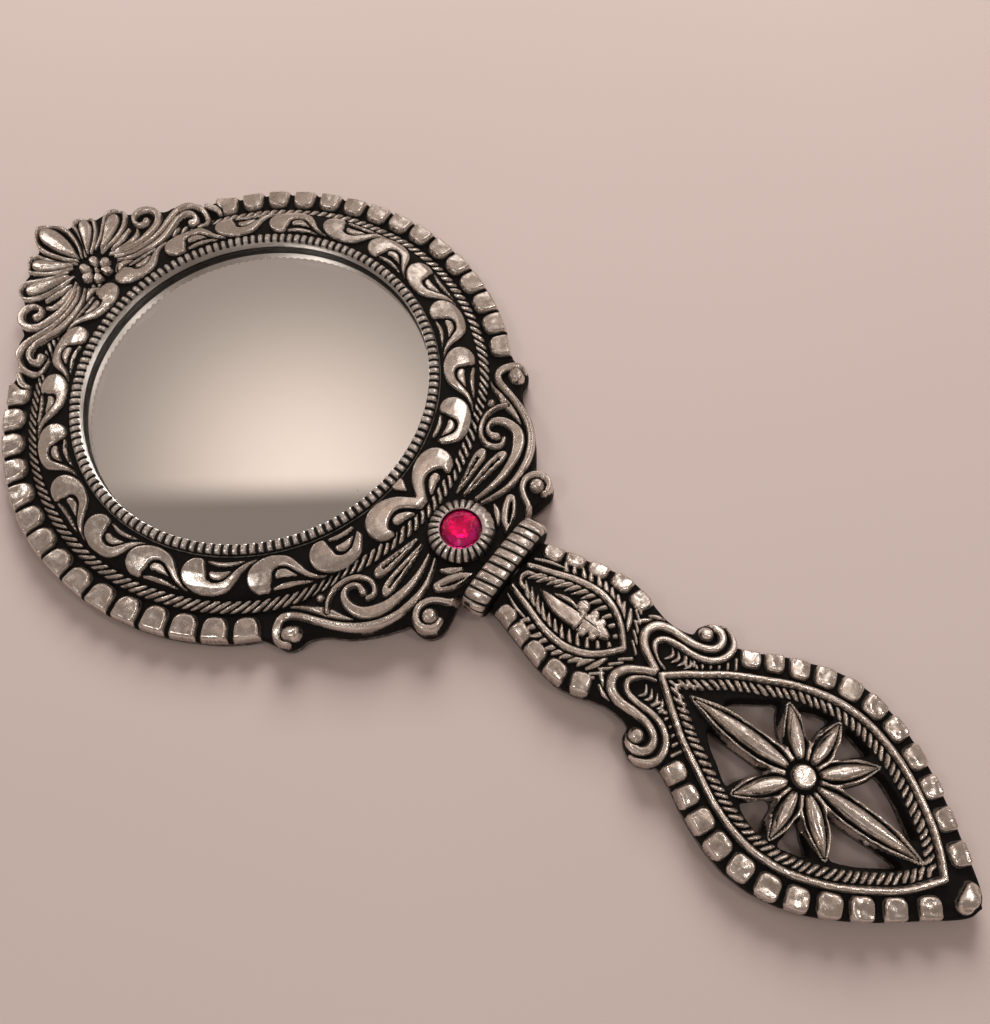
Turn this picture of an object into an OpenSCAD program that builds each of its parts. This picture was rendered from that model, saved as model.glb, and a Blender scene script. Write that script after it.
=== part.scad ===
// Hand mirror in cast white metal: a round glass in a domed, bead-edged head
// with a leaf crest, a ribbed collar at the neck and a pierced leaf-shaped handle.
// The mirror lies on its back: z = 0 is the plane it rests on, +Z is out of the
// glass, +Y runs towards the crest, and the origin is under the glass's centre.

/* [Glass] */
// Diameter of the round mirror glass
glass_d = 80; // [79:0.5:81]
// Thickness of the mirror glass
glass_t = 2; // [1.6:0.1:2.2]
// Depth from the top of the milled ring down to the glass
recess = 2.4; // [2:0.1:2.6]
// Thickness of the reflecting layer and its backing paint
silver_t = 0.15; // [0.1:0.05:0.2]

/* [Head] */
// Height of the milled ring's top above the plane that the mirror rests on
head_h = 8.6; // [8.4:0.1:9.4]
// Opening of the milled ring, the part of the glass that shows
view_d = 75.4; // [74:0.2:76]
// Radius of the circle that the border beads sit on
bead_ring_r = 54; // [53.6:0.1:54.2]
// Diameter of one border bead
bead_d = 5; // [4:0.1:5.4]
// Number of border beads on each side of the head
beads_per_side = 15; // [10:1:15]
// Height of the beads' tops above the resting plane
bead_top = 5.2; // [4.6:0.1:5.8]

/* [Back] */
// Thickness of the back cover plate
back_t = 1.5; // [1.2:0.1:1.8]
// Radius of the back cover plate
back_r = 44.8; // [44.4:0.1:45]
// Number of screws that hold the back cover
screw_count = 4; // [3:1:8]

/* [Gem] */
// Diameter of the cut stone
gem_d = 8; // [7:0.1:8.6]
// Outer diameter of the fluted cup around the stone
cup_d = 13; // [12.4:0.1:13.4]
// Number of flutes around the cup
cup_flutes = 24; // [12:1:28]

/* [Neck] */
// Diameter of the steel dowel that joins the head and the handle
dowel_d = 3.6; // [3:0.1:3.8]
// Half width of the ribbed collar
collar_hw = 12; // [11.4:0.2:12.4]
// Spacing of the collar's ribs
rib_pitch = 2; // [1.8:0.1:2.2]

/* [Handle] */
// Height of the handle's plain body above the resting plane
handle_h = 4.8; // [4.4:0.1:5.2]
// Height of the raised ridges above the resting plane
ridge_top = 7; // [6.4:0.1:7.4]
// Radius of the button in the middle of the pierced flower
button_r = 2.6; // [2.2:0.1:3]

/* [Hidden] */

// Plane of the frame's own back, just above the resting plane
back_z = 0.4;
gap = 0.05;
glass_top = head_h - recess;
glass_bot = glass_top - glass_t;
silver_bot = glass_bot - silver_t;
// The ring that holds the glass: its wall, and a flange under the frame
bezel_r1 = view_d / 2;
bezel_r2 = bezel_r1 + 2.2;
flange_r = 41.2;
flange_top = glass_top + 0.8;
rebate_r = flange_r + 0.1;
screw_r = 43;
dowel_z = 3.4;
dowel_y1 = -60;
dowel_y2 = -86;
gem_y = -57;
cup_z = 5.6;
collar_y1 = -65.4;
collar_y2 = -70.6;
flower_y = -134.2;

// Half outlines, from the top down, right-hand side
head_half = [[0, 74], [3, 72], [5, 69.5], [8.5, 68.5], [10.5, 65.5], [14, 63.5],
             [16, 60], [19.5, 58], [22.5, 53.8], [26, 51], [29, 47.2], [33.5, 45.8],
             [38.5, 41.4], [43, 36.6], [47, 31.4], [50.4, 25.6], [53, 19.6], [55, 13],
             [56.2, 6.6], [56.5, 0], [56.2, -6.6], [55, -13], [53, -19.6], [50.4, -25.6],
             [47, -31.4], [43, -36.6], [39.6, -41], [38.8, -44.5], [35, -47.2],
             [31.5, -47], [28, -53.5], [23.5, -58], [20.5, -61], [19.6, -65], [17, -67],
             [14, -66.4], [12, -65.2], [0, -65.2]];
handle_half = [[0, -70.8], [9, -70.8], [9.2, -74], [10.6, -78], [11.8, -82],
               [12.4, -86], [12.6, -90], [11.8, -94], [10.6, -98], [11, -100],
               [13.4, -103.6], [15, -107], [15.2, -110.4], [13.6, -113.2], [16.2, -118],
               [18.6, -122], [20.2, -126], [21.2, -130], [21.4, -134], [20.8, -138.4],
               [19.6, -142.4], [18, -146.2], [15.8, -150.2], [13, -154.2], [9.6, -158.4],
               [6.2, -162.2], [3.2, -165.6], [0, -168]];
panel_half = [[0, -104.6], [4, -109.4], [8, -114], [11.2, -119.4], [14, -125],
              [15.8, -131], [16, -136], [15.2, -141], [12.8, -147], [9.2, -152.6],
              [5, -157.6], [0, -161.6]];
pierced_half = [[0, -110], [5, -115.4], [8, -120.4], [10.4, -125.4], [12.2, -131],
                [12.4, -136], [11.6, -141], [9.4, -146.4], [6, -151.6], [0, -157.4]];

function both_sides(h) =
    concat(h, [for (i = [len(h) - 2 : -1 : 1]) [-h[i][0], h[i][1]]]);

module outline(h) { polygon(both_sides(h)); }

// A leaf or petal in plan: two arcs that meet in points at both ends
module lens(l, w) {
    r = (l * l / 4 + w * w / 4) / w;
    intersection() {
        translate([r - w / 2, 0]) circle(r = r, $fn = 96);
        translate([w / 2 - r, 0]) circle(r = r, $fn = 96);
    }
}

// A raised petal standing on the casting, from its root at [x, y]
module petal(x, y, turn, l, w, z1, z2) {
    translate([x, y, z1]) rotate([0, 0, turn]) translate([0, l / 2, 0])
        linear_extrude(z2 - z1) lens(l, w);
}

// A bead with a bevelled crown
module bead(x, y, d, z1, z2) {
    translate([x, y, z1]) cylinder(d = d, h = z2 - z1 - 0.8, $fn = 32);
    translate([x, y, z2 - 0.8]) cylinder(d1 = d, d2 = d * 0.62, h = 0.8, $fn = 32);
}

// A curled ribbon: part of a flat ring standing on the casting
module curl(x, y, r, w, a1, a2, z1, z2) {
    translate([x, y, z1]) rotate([0, 0, a1])
        rotate_extrude(angle = a2 - a1, $fn = 64)
            translate([r - w / 2, 0]) square([w, z2 - z1]);
}

// A scroll's outer turn: a flat ring standing on the casting
module scroll(x, y, r, w, z1, z2) {
    translate([x, y, z1]) difference() {
        cylinder(r = r + w / 2, h = z2 - z1, $fn = 48);
        translate([0, 0, -1]) cylinder(r = r - w / 2, h = z2 - z1 + 2, $fn = 48);
    }
}

module screw_places() {
    for (i = [0 : screw_count - 1])
        rotate([0, 0, 45 + i * 360 / screw_count]) translate([screw_r, 0, 0]) children();
}

module dowel_bore(y1, y2) {
    translate([0, y1, dowel_z]) rotate([90, 0, 0])
        cylinder(d = dowel_d + 2 * gap, h = y1 - y2, $fn = 64);
}

module pin_bore(y) {
    translate([0, y, -1]) cylinder(r = 0.8 + gap, h = 6.4, $fn = 32);
}

module head_frame() color("silver") difference() {
    union() {
        // Flange that follows the outline and carries the border
        translate([0, 0, back_z]) linear_extrude(3.2) outline(head_half);
        // Dome from the milled ring down to the border
        rotate_extrude($fn = 128)
            polygon([[38, 1], [50.8, 1], [50.8, 4.4], [49.6, 6.2], [47, 7.2],
                     [43.6, 8], [38, 8.2]]);
        // Border beads
        for (s = [0, 1]) mirror([s, 0, 0])
            for (i = [0 : beads_per_side - 1])
                rotate([0, 0, -41.6 + i * 93.8 / (beads_per_side - 1)])
                    translate([bead_ring_r, 0, 0]) bead(0, 0, bead_d, 2, bead_top);
        // Leaf crest: five petals above a small rosette, and two curls a side
        petal(0, 51, 0, 22, 6.4, 3, 6.6);
        for (s = [0, 1]) mirror([s, 0, 0]) {
            petal(1.5, 51, -20, 18, 5, 3, 6.4);
            petal(2.5, 50.5, -44, 17.5, 5, 3, 6.2);
            scroll(17.4, 53.6, 2.4, 1.4, 3, 6);
            scroll(23.6, 46.2, 2.4, 1.4, 3, 6.2);
            bead(17.4, 53.6, 1.8, 3, 6);
            bead(23.6, 46.2, 2, 3, 6.2);
        }
        translate([0, 51.4, 3]) cylinder(r = 3.7, h = 5.8, $fn = 48);
        // Boss under the stone's cup, and the scrolled wings beside it
        translate([0, gem_y, 1]) cylinder(r = 8, h = cup_z - 1, $fn = 64);
        translate([0, 0, 1]) linear_extrude(4)
            polygon([[-16, -51], [16, -51], [11, -65], [-11, -65]]);
        for (s = [0, 1]) mirror([s, 0, 0]) {
            scroll(23, -51, 3, 1.6, 3, 6.6);
            bead(23, -51, 2, 3, 6.6);
            bead(36, -43.4, 4.4, 3, 5.2);
            bead(17, -64, 4.2, 2, 5.6);
            petal(7, -51.5, -82, 13, 2.2, 3, 6.6);
            petal(7.5, -54, -88, 14, 2.2, 3, 6.4);
            petal(7, -63, -76, 10, 2, 3, 6);
        }
    }
    // Opening for the milled ring, the glass's rebate and the back cover's rebate
    translate([0, 0, -1]) cylinder(r = bezel_r2 + gap, h = 12, $fn = 128);
    translate([0, 0, -1]) cylinder(r = rebate_r, h = 1 + flange_top + gap, $fn = 128);
    translate([0, 0, -1]) cylinder(r = back_r + 0.1, h = 1 + back_t, $fn = 128);
    screw_places() translate([0, 0, 1]) cylinder(r = 0.75 + gap, h = 3.8, $fn = 32);
    dowel_bore(-60, -67);
    pin_bore(-62.6);
}

module milled_bezel() color("gainsboro") difference() {
    rotate_extrude($fn = 128)
        polygon([[bezel_r1, glass_top + gap], [flange_r, glass_top + gap],
                 [flange_r, flange_top], [bezel_r2, flange_top],
                 [bezel_r2, head_h - 0.3], [bezel_r2 - 0.4, head_h],
                 [bezel_r1 + 0.3, head_h], [bezel_r1, head_h - 0.3]]);
    // Milling: fine radial grooves across the ring's top
    for (i = [0 : 65]) rotate([0, 0, i * 180 / 66])
        for (s = [-1, 1])
            translate([s * (bezel_r1 + 1) - 2, -0.25, head_h - 0.5]) cube([4, 0.5, 1]);
}

module mirror_glass() color("lightcyan") translate([0, 0, glass_bot]) {
    cylinder(d = glass_d, h = glass_t - 0.3, $fn = 128);
    translate([0, 0, glass_t - 0.3])
        cylinder(d1 = glass_d, d2 = glass_d - 0.6, h = 0.3, $fn = 128);
}

module mirror_silvering() color("whitesmoke")
    translate([0, 0, silver_bot]) cylinder(d = glass_d - 0.6, h = silver_t, $fn = 128);

module backing_pad() color("dimgray")
    translate([0, 0, back_t]) cylinder(d = glass_d, h = silver_bot - back_t, $fn = 128);

module back_plate() color("darkgray") difference() {
    union() {
        cylinder(r = back_r - 0.5, h = 0.5, $fn = 128);
        translate([0, 0, 0.5]) cylinder(r = back_r, h = back_t - 0.5, $fn = 128);
    }
    screw_places() {
        translate([0, 0, -1]) cylinder(r = 0.75 + gap, h = 4, $fn = 32);
        translate([0, 0, -0.01]) cylinder(r1 = 1.56, r2 = 0.8, h = 0.77, $fn = 32);
    }
    // Two turned grooves round the plate's back
    for (r = [30, 40.4]) translate([0, 0, -0.01]) difference() {
        cylinder(r = r + 0.4, h = 0.3, $fn = 128);
        translate([0, 0, -1]) cylinder(r = r - 0.4, h = 3, $fn = 128);
    }
}

module back_screws() color("goldenrod") screw_places() difference() {
    union() {
        translate([0, 0, 0.05]) cylinder(r1 = 1.48, r2 = 0.75, h = 0.72, $fn = 32);
        translate([0, 0, 0.7]) cylinder(r = 0.75, h = 3.8, $fn = 32);
    }
    translate([-2, -0.2, -0.5]) cube([4, 0.4, 0.85]);
}

module gem_cup() color("silver") translate([0, gem_y, cup_z]) difference() {
    union() {
        cylinder(d1 = cup_d, d2 = gem_d + 2.4, h = 2.6, $fn = 64);
        for (i = [0 : cup_flutes - 1]) rotate([0, 0, i * 360 / cup_flutes])
            translate([cup_d / 2 - 0.9, 0, 0])
                cylinder(r = 0.7, h = 1.6, $fn = 24);
    }
    translate([0, 0, 0.6]) cylinder(d = gem_d + 0.1, h = 4, $fn = 64);
}

module gem_foil() color("mistyrose")
    translate([0, gem_y, cup_z + 0.6]) cylinder(d = gem_d - 0.2, h = 0.15, $fn = 64);

module gemstone() color("crimson") translate([0, gem_y, cup_z + 0.75]) {
    cylinder(d = gem_d, h = 1.6, $fn = 12);
    translate([0, 0, 1.6]) cylinder(d1 = gem_d, d2 = gem_d * 0.56, h = 1.2, $fn = 12);
}

module neck_collar() color("lightgray") difference() {
    union() {
        translate([-collar_hw + 1.6, collar_y2, back_z])
            cube([2 * collar_hw - 3.2, collar_y1 - collar_y2, 6.8]);
        for (z = [2, 4, 6]) for (s = [-1, 1])
            translate([s * (collar_hw - 1.5), collar_y1, z]) rotate([90, 0, 0])
                cylinder(r = 1.2, h = collar_y1 - collar_y2, $fn = 32);
        for (i = [-5 : 5])
            translate([i * rib_pitch, collar_y1, 7 + 0.9 * cos(i * 16)]) rotate([90, 0, 0])
                cylinder(r = 1.1, h = collar_y1 - collar_y2, $fn = 32);
    }
    dowel_bore(-60, -80);
}

module neck_dowel() color("slategray") difference() {
    translate([0, dowel_y1, dowel_z]) rotate([90, 0, 0])
        cylinder(d = dowel_d, h = dowel_y1 - dowel_y2, $fn = 64);
    pin_bore(-62.6);
    pin_bore(-80);
}

module dowel_pins() color("goldenrod") for (y = [-62.6, -80])
    translate([0, y, 0.5]) cylinder(r = 0.8, h = 4.8, $fn = 32);

module handle() color("silver") difference() {
    union() {
        // Body, opened between the flower's petals
        difference() {
            translate([0, 0, back_z]) linear_extrude(handle_h - back_z) outline(handle_half);
            translate([0, 0, -1]) linear_extrude(12) outline(pierced_half);
        }
        // Ridge round the pierced panel
        translate([0, 0, handle_h - 1]) linear_extrude(ridge_top - handle_h + 1)
            difference() {
                outline(panel_half);
                polygon([for (p = both_sides(panel_half))
                         [p[0] * 0.89, -134 + (p[1] + 134) * 0.93]]);
            }
        // Pierced flower: eight petals round a button
        for (t = [[0, 25.6, 5], [180, 24.6, 4.8], [52, 15, 4.2], [-52, 15, 4.2],
                  [92, 13.4, 4.2], [-92, 13.4, 4.2], [138, 15.6, 4.2], [-138, 15.6, 4.2]])
            petal(0, flower_y, t[0], t[1], t[2], back_z + 0.6, 7);
        translate([0, flower_y, back_z + 0.6])
            cylinder(r = button_r, h = 7.4, $fn = 48);
        // Almond ridge with a bud in it
        translate([0, -84, handle_h - 1]) linear_extrude(ridge_top - handle_h + 0.8)
            difference() { lens(25, 14.4); lens(22, 11.2); }
        petal(0, -92, 0, 15, 5, 3.6, 6.6);
        // Double-ridged scrolls between the two panels
        for (s = [0, 1]) mirror([s, 0, 0]) {
            curl(5.4, -101.6, 3.4, 1.4, -20, 180, 3.6, 7);
            curl(11.8, -107, 3.6, 1.4, -200, 20, 3.6, 7);
            bead(12, -106.8, 3.6, 3.6, 6.8);
        }
        // Beads down both edges and one at the tip
        for (s = [0, 1]) mirror([s, 0, 0]) {
            for (p = [[7.6, -74], [9, -78.6], [10.2, -83.4], [10.4, -88.6], [9.6, -93.8]])
                bead(p[0], p[1], 4.2, 3, 6.2);
            for (p = [[13, -115.8], [15, -119.8], [16.8, -124], [18.4, -128.6],
                      [18.9, -133.6], [18.6, -138.6], [17.2, -143.6], [14.8, -148.6],
                      [11.8, -153], [8.6, -157.6], [5.2, -161.8]])
                bead(p[0], p[1], 4.2, 3, 6.2);
        }
        bead(0, -165, 3.8, 3, 6.4);
    }
    dowel_bore(-65, -86.2);
    pin_bore(-80);
}

head_frame();
milled_bezel();
mirror_glass();
mirror_silvering();
backing_pad();
back_plate();
back_screws();
gem_cup();
gem_foil();
gemstone();
neck_collar();
neck_dowel();
dowel_pins();
handle();
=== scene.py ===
import math

import bmesh
import bpy
import numpy as np
from mathutils import Matrix, Vector


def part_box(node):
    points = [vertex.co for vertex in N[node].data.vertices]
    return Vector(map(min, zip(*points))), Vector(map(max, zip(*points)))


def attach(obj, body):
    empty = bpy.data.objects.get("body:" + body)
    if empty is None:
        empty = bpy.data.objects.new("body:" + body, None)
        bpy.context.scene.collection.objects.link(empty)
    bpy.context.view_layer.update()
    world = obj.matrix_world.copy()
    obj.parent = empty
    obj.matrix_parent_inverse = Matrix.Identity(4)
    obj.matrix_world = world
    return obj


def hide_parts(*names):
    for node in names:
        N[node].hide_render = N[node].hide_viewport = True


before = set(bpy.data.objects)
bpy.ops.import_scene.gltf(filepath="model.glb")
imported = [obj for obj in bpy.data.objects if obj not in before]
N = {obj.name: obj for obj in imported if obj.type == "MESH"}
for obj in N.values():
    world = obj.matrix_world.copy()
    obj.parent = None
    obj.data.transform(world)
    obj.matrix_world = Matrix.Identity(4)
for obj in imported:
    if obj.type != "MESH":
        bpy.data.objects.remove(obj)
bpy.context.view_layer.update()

MM = 0.001

# ---------------------------------------------------------------------------
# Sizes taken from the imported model, in millimetres
# ---------------------------------------------------------------------------


def box_mm(node):
    lo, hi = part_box(node)
    return np.array(lo) * 1000.0, np.array(hi) * 1000.0


bz_lo, bz_hi = box_mm("milled_bezel")
TOP = float(bz_hi[2])                      # top of the milled ring
gl_lo, gl_hi = box_mm("mirror_glass")
GLASS_TOP = float(gl_hi[2])
bp_lo, bp_hi = box_mm("back_plate")
hf_lo, hf_hi = box_mm("head_frame")
cup_lo, cup_hi = box_mm("gem_cup")
gs_lo, gs_hi = box_mm("gemstone")
co_lo, co_hi = box_mm("neck_collar")
ha_lo, ha_hi = box_mm("handle")
GEM_X, GEM_Y = float(gs_lo[0] + gs_hi[0]) / 2, float(gs_lo[1] + gs_hi[1]) / 2
BACK_Z = float(hf_lo[2])
R_IN = 39.95                               # inner wall of the casting, round the milled ring
R_SEAM = 51.05                             # the dome's groove, where the two head meshes meet
BAND_STEP = 0.2
FLANGE_STEP = 0.21
HANDLE_STEP = 0.185

# ---------------------------------------------------------------------------
# Numeric helpers
# ---------------------------------------------------------------------------
_rng = np.random.RandomState(11)
_LATTICE = _rng.rand(256, 256)


def noise(x, y, scale, shift=0.0):
    """Smooth value noise from -1 to 1, with features about `scale` mm wide."""
    u = x / scale + 37.3 + shift
    v = y / scale + 91.7 - shift * 0.7
    iu, iv = np.floor(u).astype(int), np.floor(v).astype(int)
    fu, fv = u - iu, v - iv
    fu, fv = fu * fu * (3 - 2 * fu), fv * fv * (3 - 2 * fv)
    a = _LATTICE[iu % 256, iv % 256]
    b = _LATTICE[(iu + 1) % 256, iv % 256]
    c = _LATTICE[iu % 256, (iv + 1) % 256]
    d = _LATTICE[(iu + 1) % 256, (iv + 1) % 256]
    return 2 * ((a * (1 - fu) + b * fu) * (1 - fv) + (c * (1 - fu) + d * fu) * fv) - 1


def sstep(a, b, x):
    t = np.clip((x - a) / (b - a), 0, 1)
    return t * t * (3 - 2 * t)


def spline(points, closed=False, step=0.2):
    """Catmull-Rom curve through rows of numbers; the first two are x and y."""
    p = np.array(points, float)
    if len(p) == 1:
        return p
    if closed:
        p = np.vstack([p[-1], p, p[0], p[1]])
    else:
        p = np.vstack([2 * p[0] - p[1], p, 2 * p[-1] - p[-2]])
    out = []
    for i in range(1, len(p) - 2):
        a, b, c, d = p[i - 1], p[i], p[i + 1], p[i + 2]
        n = max(2, int(math.ceil(np.hypot(*(c - b)[:2]) / step)))
        t = (np.arange(n) / n)[:, None]
        out.append(0.5 * (2 * b + (c - a) * t + (2 * a - 5 * b + 4 * c - d) * t ** 2
                          + (3 * b - a - 3 * c + d) * t ** 3))
    if not closed:
        out.append(p[-2][None])
    return np.vstack(out)


def moved(points, k, oy):
    """A group of curves enlarged by k about the glass's centre and moved up by oy."""
    q = np.array(points, float)
    q[:, 0] *= k
    q[:, 1] = q[:, 1] * k + oy
    return q


class Relief:
    """Heights above a floor at many points: ridges are added and grooves cut."""

    def __init__(self, x, y):
        self.x, self.y = x, y
        self.ax = np.abs(x)
        self.h = np.zeros_like(x)

    def _edge(self, curve, fold=True, reach=0.0):
        """How far inside the band of discs along the curve each point near it is."""
        x = self.ax if fold else self.x
        w = curve[:, 2]
        pad = w.max() + reach
        near = np.nonzero((x > curve[:, 0].min() - pad) & (x < curve[:, 0].max() + pad)
                          & (self.y > curve[:, 1].min() - pad) & (self.y < curve[:, 1].max() + pad))[0]
        e = np.full(len(near), -9.0)
        if len(near) == 0:
            return near, e
        for s in range(0, len(near), 20000):
            i = near[s:s + 20000]
            dx = x[i][:, None] - curve[None, :, 0]
            dy = self.y[i][:, None] - curve[None, :, 1]
            e[s:s + 20000] = (w[None] - np.sqrt(dx * dx + dy * dy)).max(1)
        keep = e > -reach if reach else e > 0
        return near[keep], e[keep]

    def ridge(self, points, top, r=0.7, fold=True, closed=False, dome=0.0, clear=0.0):
        """A raised band along a curve of x, y and half width. `clear` sinks a moat round it."""
        c = spline(points, closed)
        if clear > 0:
            i, e = self._edge(c, fold, clear)
            self.h[i] *= 1 - sstep(-clear, -clear * 0.35, e)
        i, e = self._edge(c, fold)
        rise = top * np.sin(np.clip(e / r, 0, 1) * math.pi / 2)
        if dome:
            rise = rise + dome * np.clip(e / c[:, 2].max(), 0, 1) ** 0.8 * (e > 0)
        self.h[i] = np.maximum(self.h[i], rise)

    def groove(self, points, amount=1.0, r=0.35, fold=True, closed=False):
        c = spline(points, closed)
        i, e = self._edge(c, fold)
        self.h[i] *= 1 - amount * np.sin(np.clip(e / r, 0, 1) * math.pi / 2)

    def dot(self, x, y, w, top, r=None, fold=True, dome=0.0):
        self.ridge([[x, y, w]], top, r or w, fold, dome=dome)


def seg_distance(x, y, loop):
    """Distance to a closed polyline and whether each point is inside it."""
    a = loop
    b = np.roll(loop, -1, 0)
    d = b - a
    L = (d ** 2).sum(1)
    dist = np.empty(len(x))
    inside = np.zeros(len(x), bool)
    for s in range(0, len(x), 8000):
        px, py = x[s:s + 8000][:, None], y[s:s + 8000][:, None]
        t = np.clip(((px - a[:, 0]) * d[:, 0] + (py - a[:, 1]) * d[:, 1]) / L, 0, 1)
        qx, qy = a[:, 0] + t * d[:, 0] - px, a[:, 1] + t * d[:, 1] - py
        dist[s:s + 8000] = np.sqrt((qx * qx + qy * qy).min(1))
        cross = ((a[:, 1] > py) != (b[:, 1] > py)) & (
            px < d[:, 0] * (py - a[:, 1]) / np.where(d[:, 1] == 0, 1e-9, d[:, 1]) + a[:, 0])
        inside[s:s + 8000] = (cross.sum(1) % 2) == 1
    return dist, inside


def signed(x, y, loop):
    """Distance to the loop, positive inside. Exact near it, coarse further off."""
    step = 1.5
    cx = np.arange(x.min() - step, x.max() + 2 * step, step)
    cy = np.arange(y.min() - step, y.max() + 2 * step, step)
    GX, GY = np.meshgrid(cx, cy)
    d, i = seg_distance(GX.ravel(), GY.ravel(), loop)
    D = np.where(i, d, -d).reshape(GX.shape)
    out = D[np.round((y - cy[0]) / step).astype(int), np.round((x - cx[0]) / step).astype(int)]
    near = np.nonzero(np.abs(out) < 3.6)[0]
    d, i = seg_distance(x[near], y[near], loop)
    out[near] = np.where(i, d, -d)
    return out


def blur(a, n, wrap=False):
    """Repeated box blur, about a Gaussian of n samples."""
    for axis in (0, 1):
        for _ in range(3):
            if wrap and axis == 0:
                p = np.concatenate([a[-n:], a, a[:n]], 0)
            else:
                pad = [(0, 0), (0, 0)]
                pad[axis] = (n, n)
                p = np.pad(a, pad, mode="edge")
            c = np.cumsum(p, axis)
            c = np.concatenate([np.zeros_like(np.take(c, [0], axis)), c], axis)
            m = 2 * n + 1
            hi = np.take(c, np.arange(m, c.shape[axis]), axis)
            lo = np.take(c, np.arange(0, c.shape[axis] - m), axis)
            a = (hi - lo) / m
    return a


def warp(x, y):
    """The small unevenness of a hand-finished casting."""
    dx = 0.13 * noise(x, y, 11.0, 3.1) + 0.05 * noise(x, y, 3.7, 8.2)
    dy = 0.13 * noise(x, y, 12.0, 17.4) + 0.05 * noise(x, y, 3.9, 23.0)
    return x + dx, y + dy


# ---------------------------------------------------------------------------
# Head: floor, ornament and outline
# ---------------------------------------------------------------------------
HEAD_HALF = [[0, 74.9], [1.5, 74.1], [3.1, 72.0], [4.5, 69.5], [6.0, 69.0], [8.2, 68.3],
             [10.1, 66.0], [12.6, 65.2], [15.3, 63.4], [16.5, 60.4], [18.2, 58.9],
             [20.8, 57.0], [22.4, 53.6], [24.6, 52.6], [27.2, 50.2], [28.8, 47.2],
             [32.5, 46.0], [37.6, 42.2], [42.4, 37.4], [46.6, 31.9], [50.0, 26.2],
             [52.7, 20.2], [54.8, 13.6], [56.0, 6.8], [56.4, 0], [56.0, -6.8],
             [54.8, -13.6], [52.7, -20.2], [50.0, -26.2], [46.6, -31.9], [42.9, -36.4],
             [40.4, -39.0], [39.6, -41.4], [38.9, -44.4], [37.0, -45.8], [34.6, -46.4],
             [32.1, -48.7], [29.5, -52.9], [25.9, -56.5], [22.4, -59.1], [20.7, -60.3],
             [20.9, -62.9], [20.1, -65.2], [17.9, -66.4], [15.4, -66.2], [13.0, -65.6],
             [11.2, -65.2]]
NECK_Y = -65.2


def head_loop():
    half = spline(HEAD_HALF, step=0.25)
    left = half[1:][::-1].copy()
    left[:, 0] *= -1
    loop = np.vstack([half, [[0.0, NECK_Y]], left])
    wob = 0.12 * noise(loop[:, 0], loop[:, 1], 9.0, 5.5)
    n = loop / np.maximum(np.hypot(loop[:, 0], loop[:, 1]), 1)[:, None]
    keep = loop[:, 1] > NECK_Y + 0.3
    loop[keep] += (n * wob[:, None])[keep]
    return loop


def head_floor(x, y):
    """The blackened ground that the ornament stands on."""
    r = np.hypot(x, y)
    dome = np.interp(r, [39.0, 41.0, 44.0, 46.4, 47.7, 48.4, 49.3, 50.4, 51.1],
                     [7.2, 7.2, 6.85, 6.25, 5.6, 4.8, 4.1, 3.7, 3.4])
    crest = sstep(41.0, 46.5, y - 0.06 * np.abs(x))
    low = sstep(-38.0, -43.0, y + 0.05 * np.abs(x))
    flange = 3.3 + 2.0 * crest + 1.9 * low
    flange = flange - 0.025 * np.clip(y - 58, 0, 30)
    flange = flange - low * 0.5 * sstep(26, 37, np.abs(x))
    f = np.where(r < 51.1, np.maximum(dome, flange * (r > 46.6)), flange)
    return np.maximum(f, 5.75 * sstep(-56.0, -59.5, y) * sstep(3.4, 2.4, np.abs(x)))


# one paisley: x runs from its tail to its head, y outwards from the middle of the band
PAISLEY_R = 44.3
PAISLEY_BODY = [[-9.0, -3.1, 0.14], [-7.2, -2.55, 0.36], [-5.45, -1.35, 0.6], [-4.15, 0.2, 0.84],
                [-2.7, 1.6, 1.04], [-0.6, 2.15, 1.2], [1.3, 1.8, 1.55], [2.6, 0.85, 2.05],
                [3.25, -0.3, 2.42], [3.2, -1.35, 1.95], [2.4, -2.3, 1.05]]
PAISLEY_CORE = [[-3.8, -1.2, 0.16], [-2.8, -0.75, 0.5], [-1.7, -0.3, 0.82], [-0.7, -0.26, 0.8],
                [-0.2, -0.55, 0.6]]
PAISLEY_LEAF = [[-6.2, -3.0, 0.16], [-3.9, -2.6, 0.42], [-1.5, -2.42, 0.5], [0.7, -2.75, 0.32]]
PAISLEY_ANGLES = [82, 65.0, 49.0, 32.2, 15.2, -1.0, -16.6, -32.5, -49.2, -65.8]

ARCH = [[0.5, -46.4, 1.2], [1.8, -44.8, 1.25], [3.4, -43.1, 1.45], [5.5, -42.2, 1.85],
        [7.7, -42.2, 2.3], [9.3, -42.9, 2.45], [10.0, -44.1, 2.1], [9.8, -45.4, 1.35], [9.0, -46.2, 0.8]]
ARCH_DROP = [[2.9, -46.9, 0.4], [4.1, -46.1, 0.8], [5.4, -45.5, 1.0], [6.2, -45.4, 0.95]]


def rope_height(s, n, pitch, slant, env_pow=0.5, open_=0.62):
    """Strands of a twisted rope: s runs along it and n across it from -1 to 1."""
    ph = s / pitch + n * slant
    f = np.abs((ph % 1.0) - 0.5) * 2
    strand = np.clip(1 - (f / open_) ** 2, 0, 1) ** 0.5
    return strand * np.clip(1 - n * n, 0, 1) ** env_pow


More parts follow.
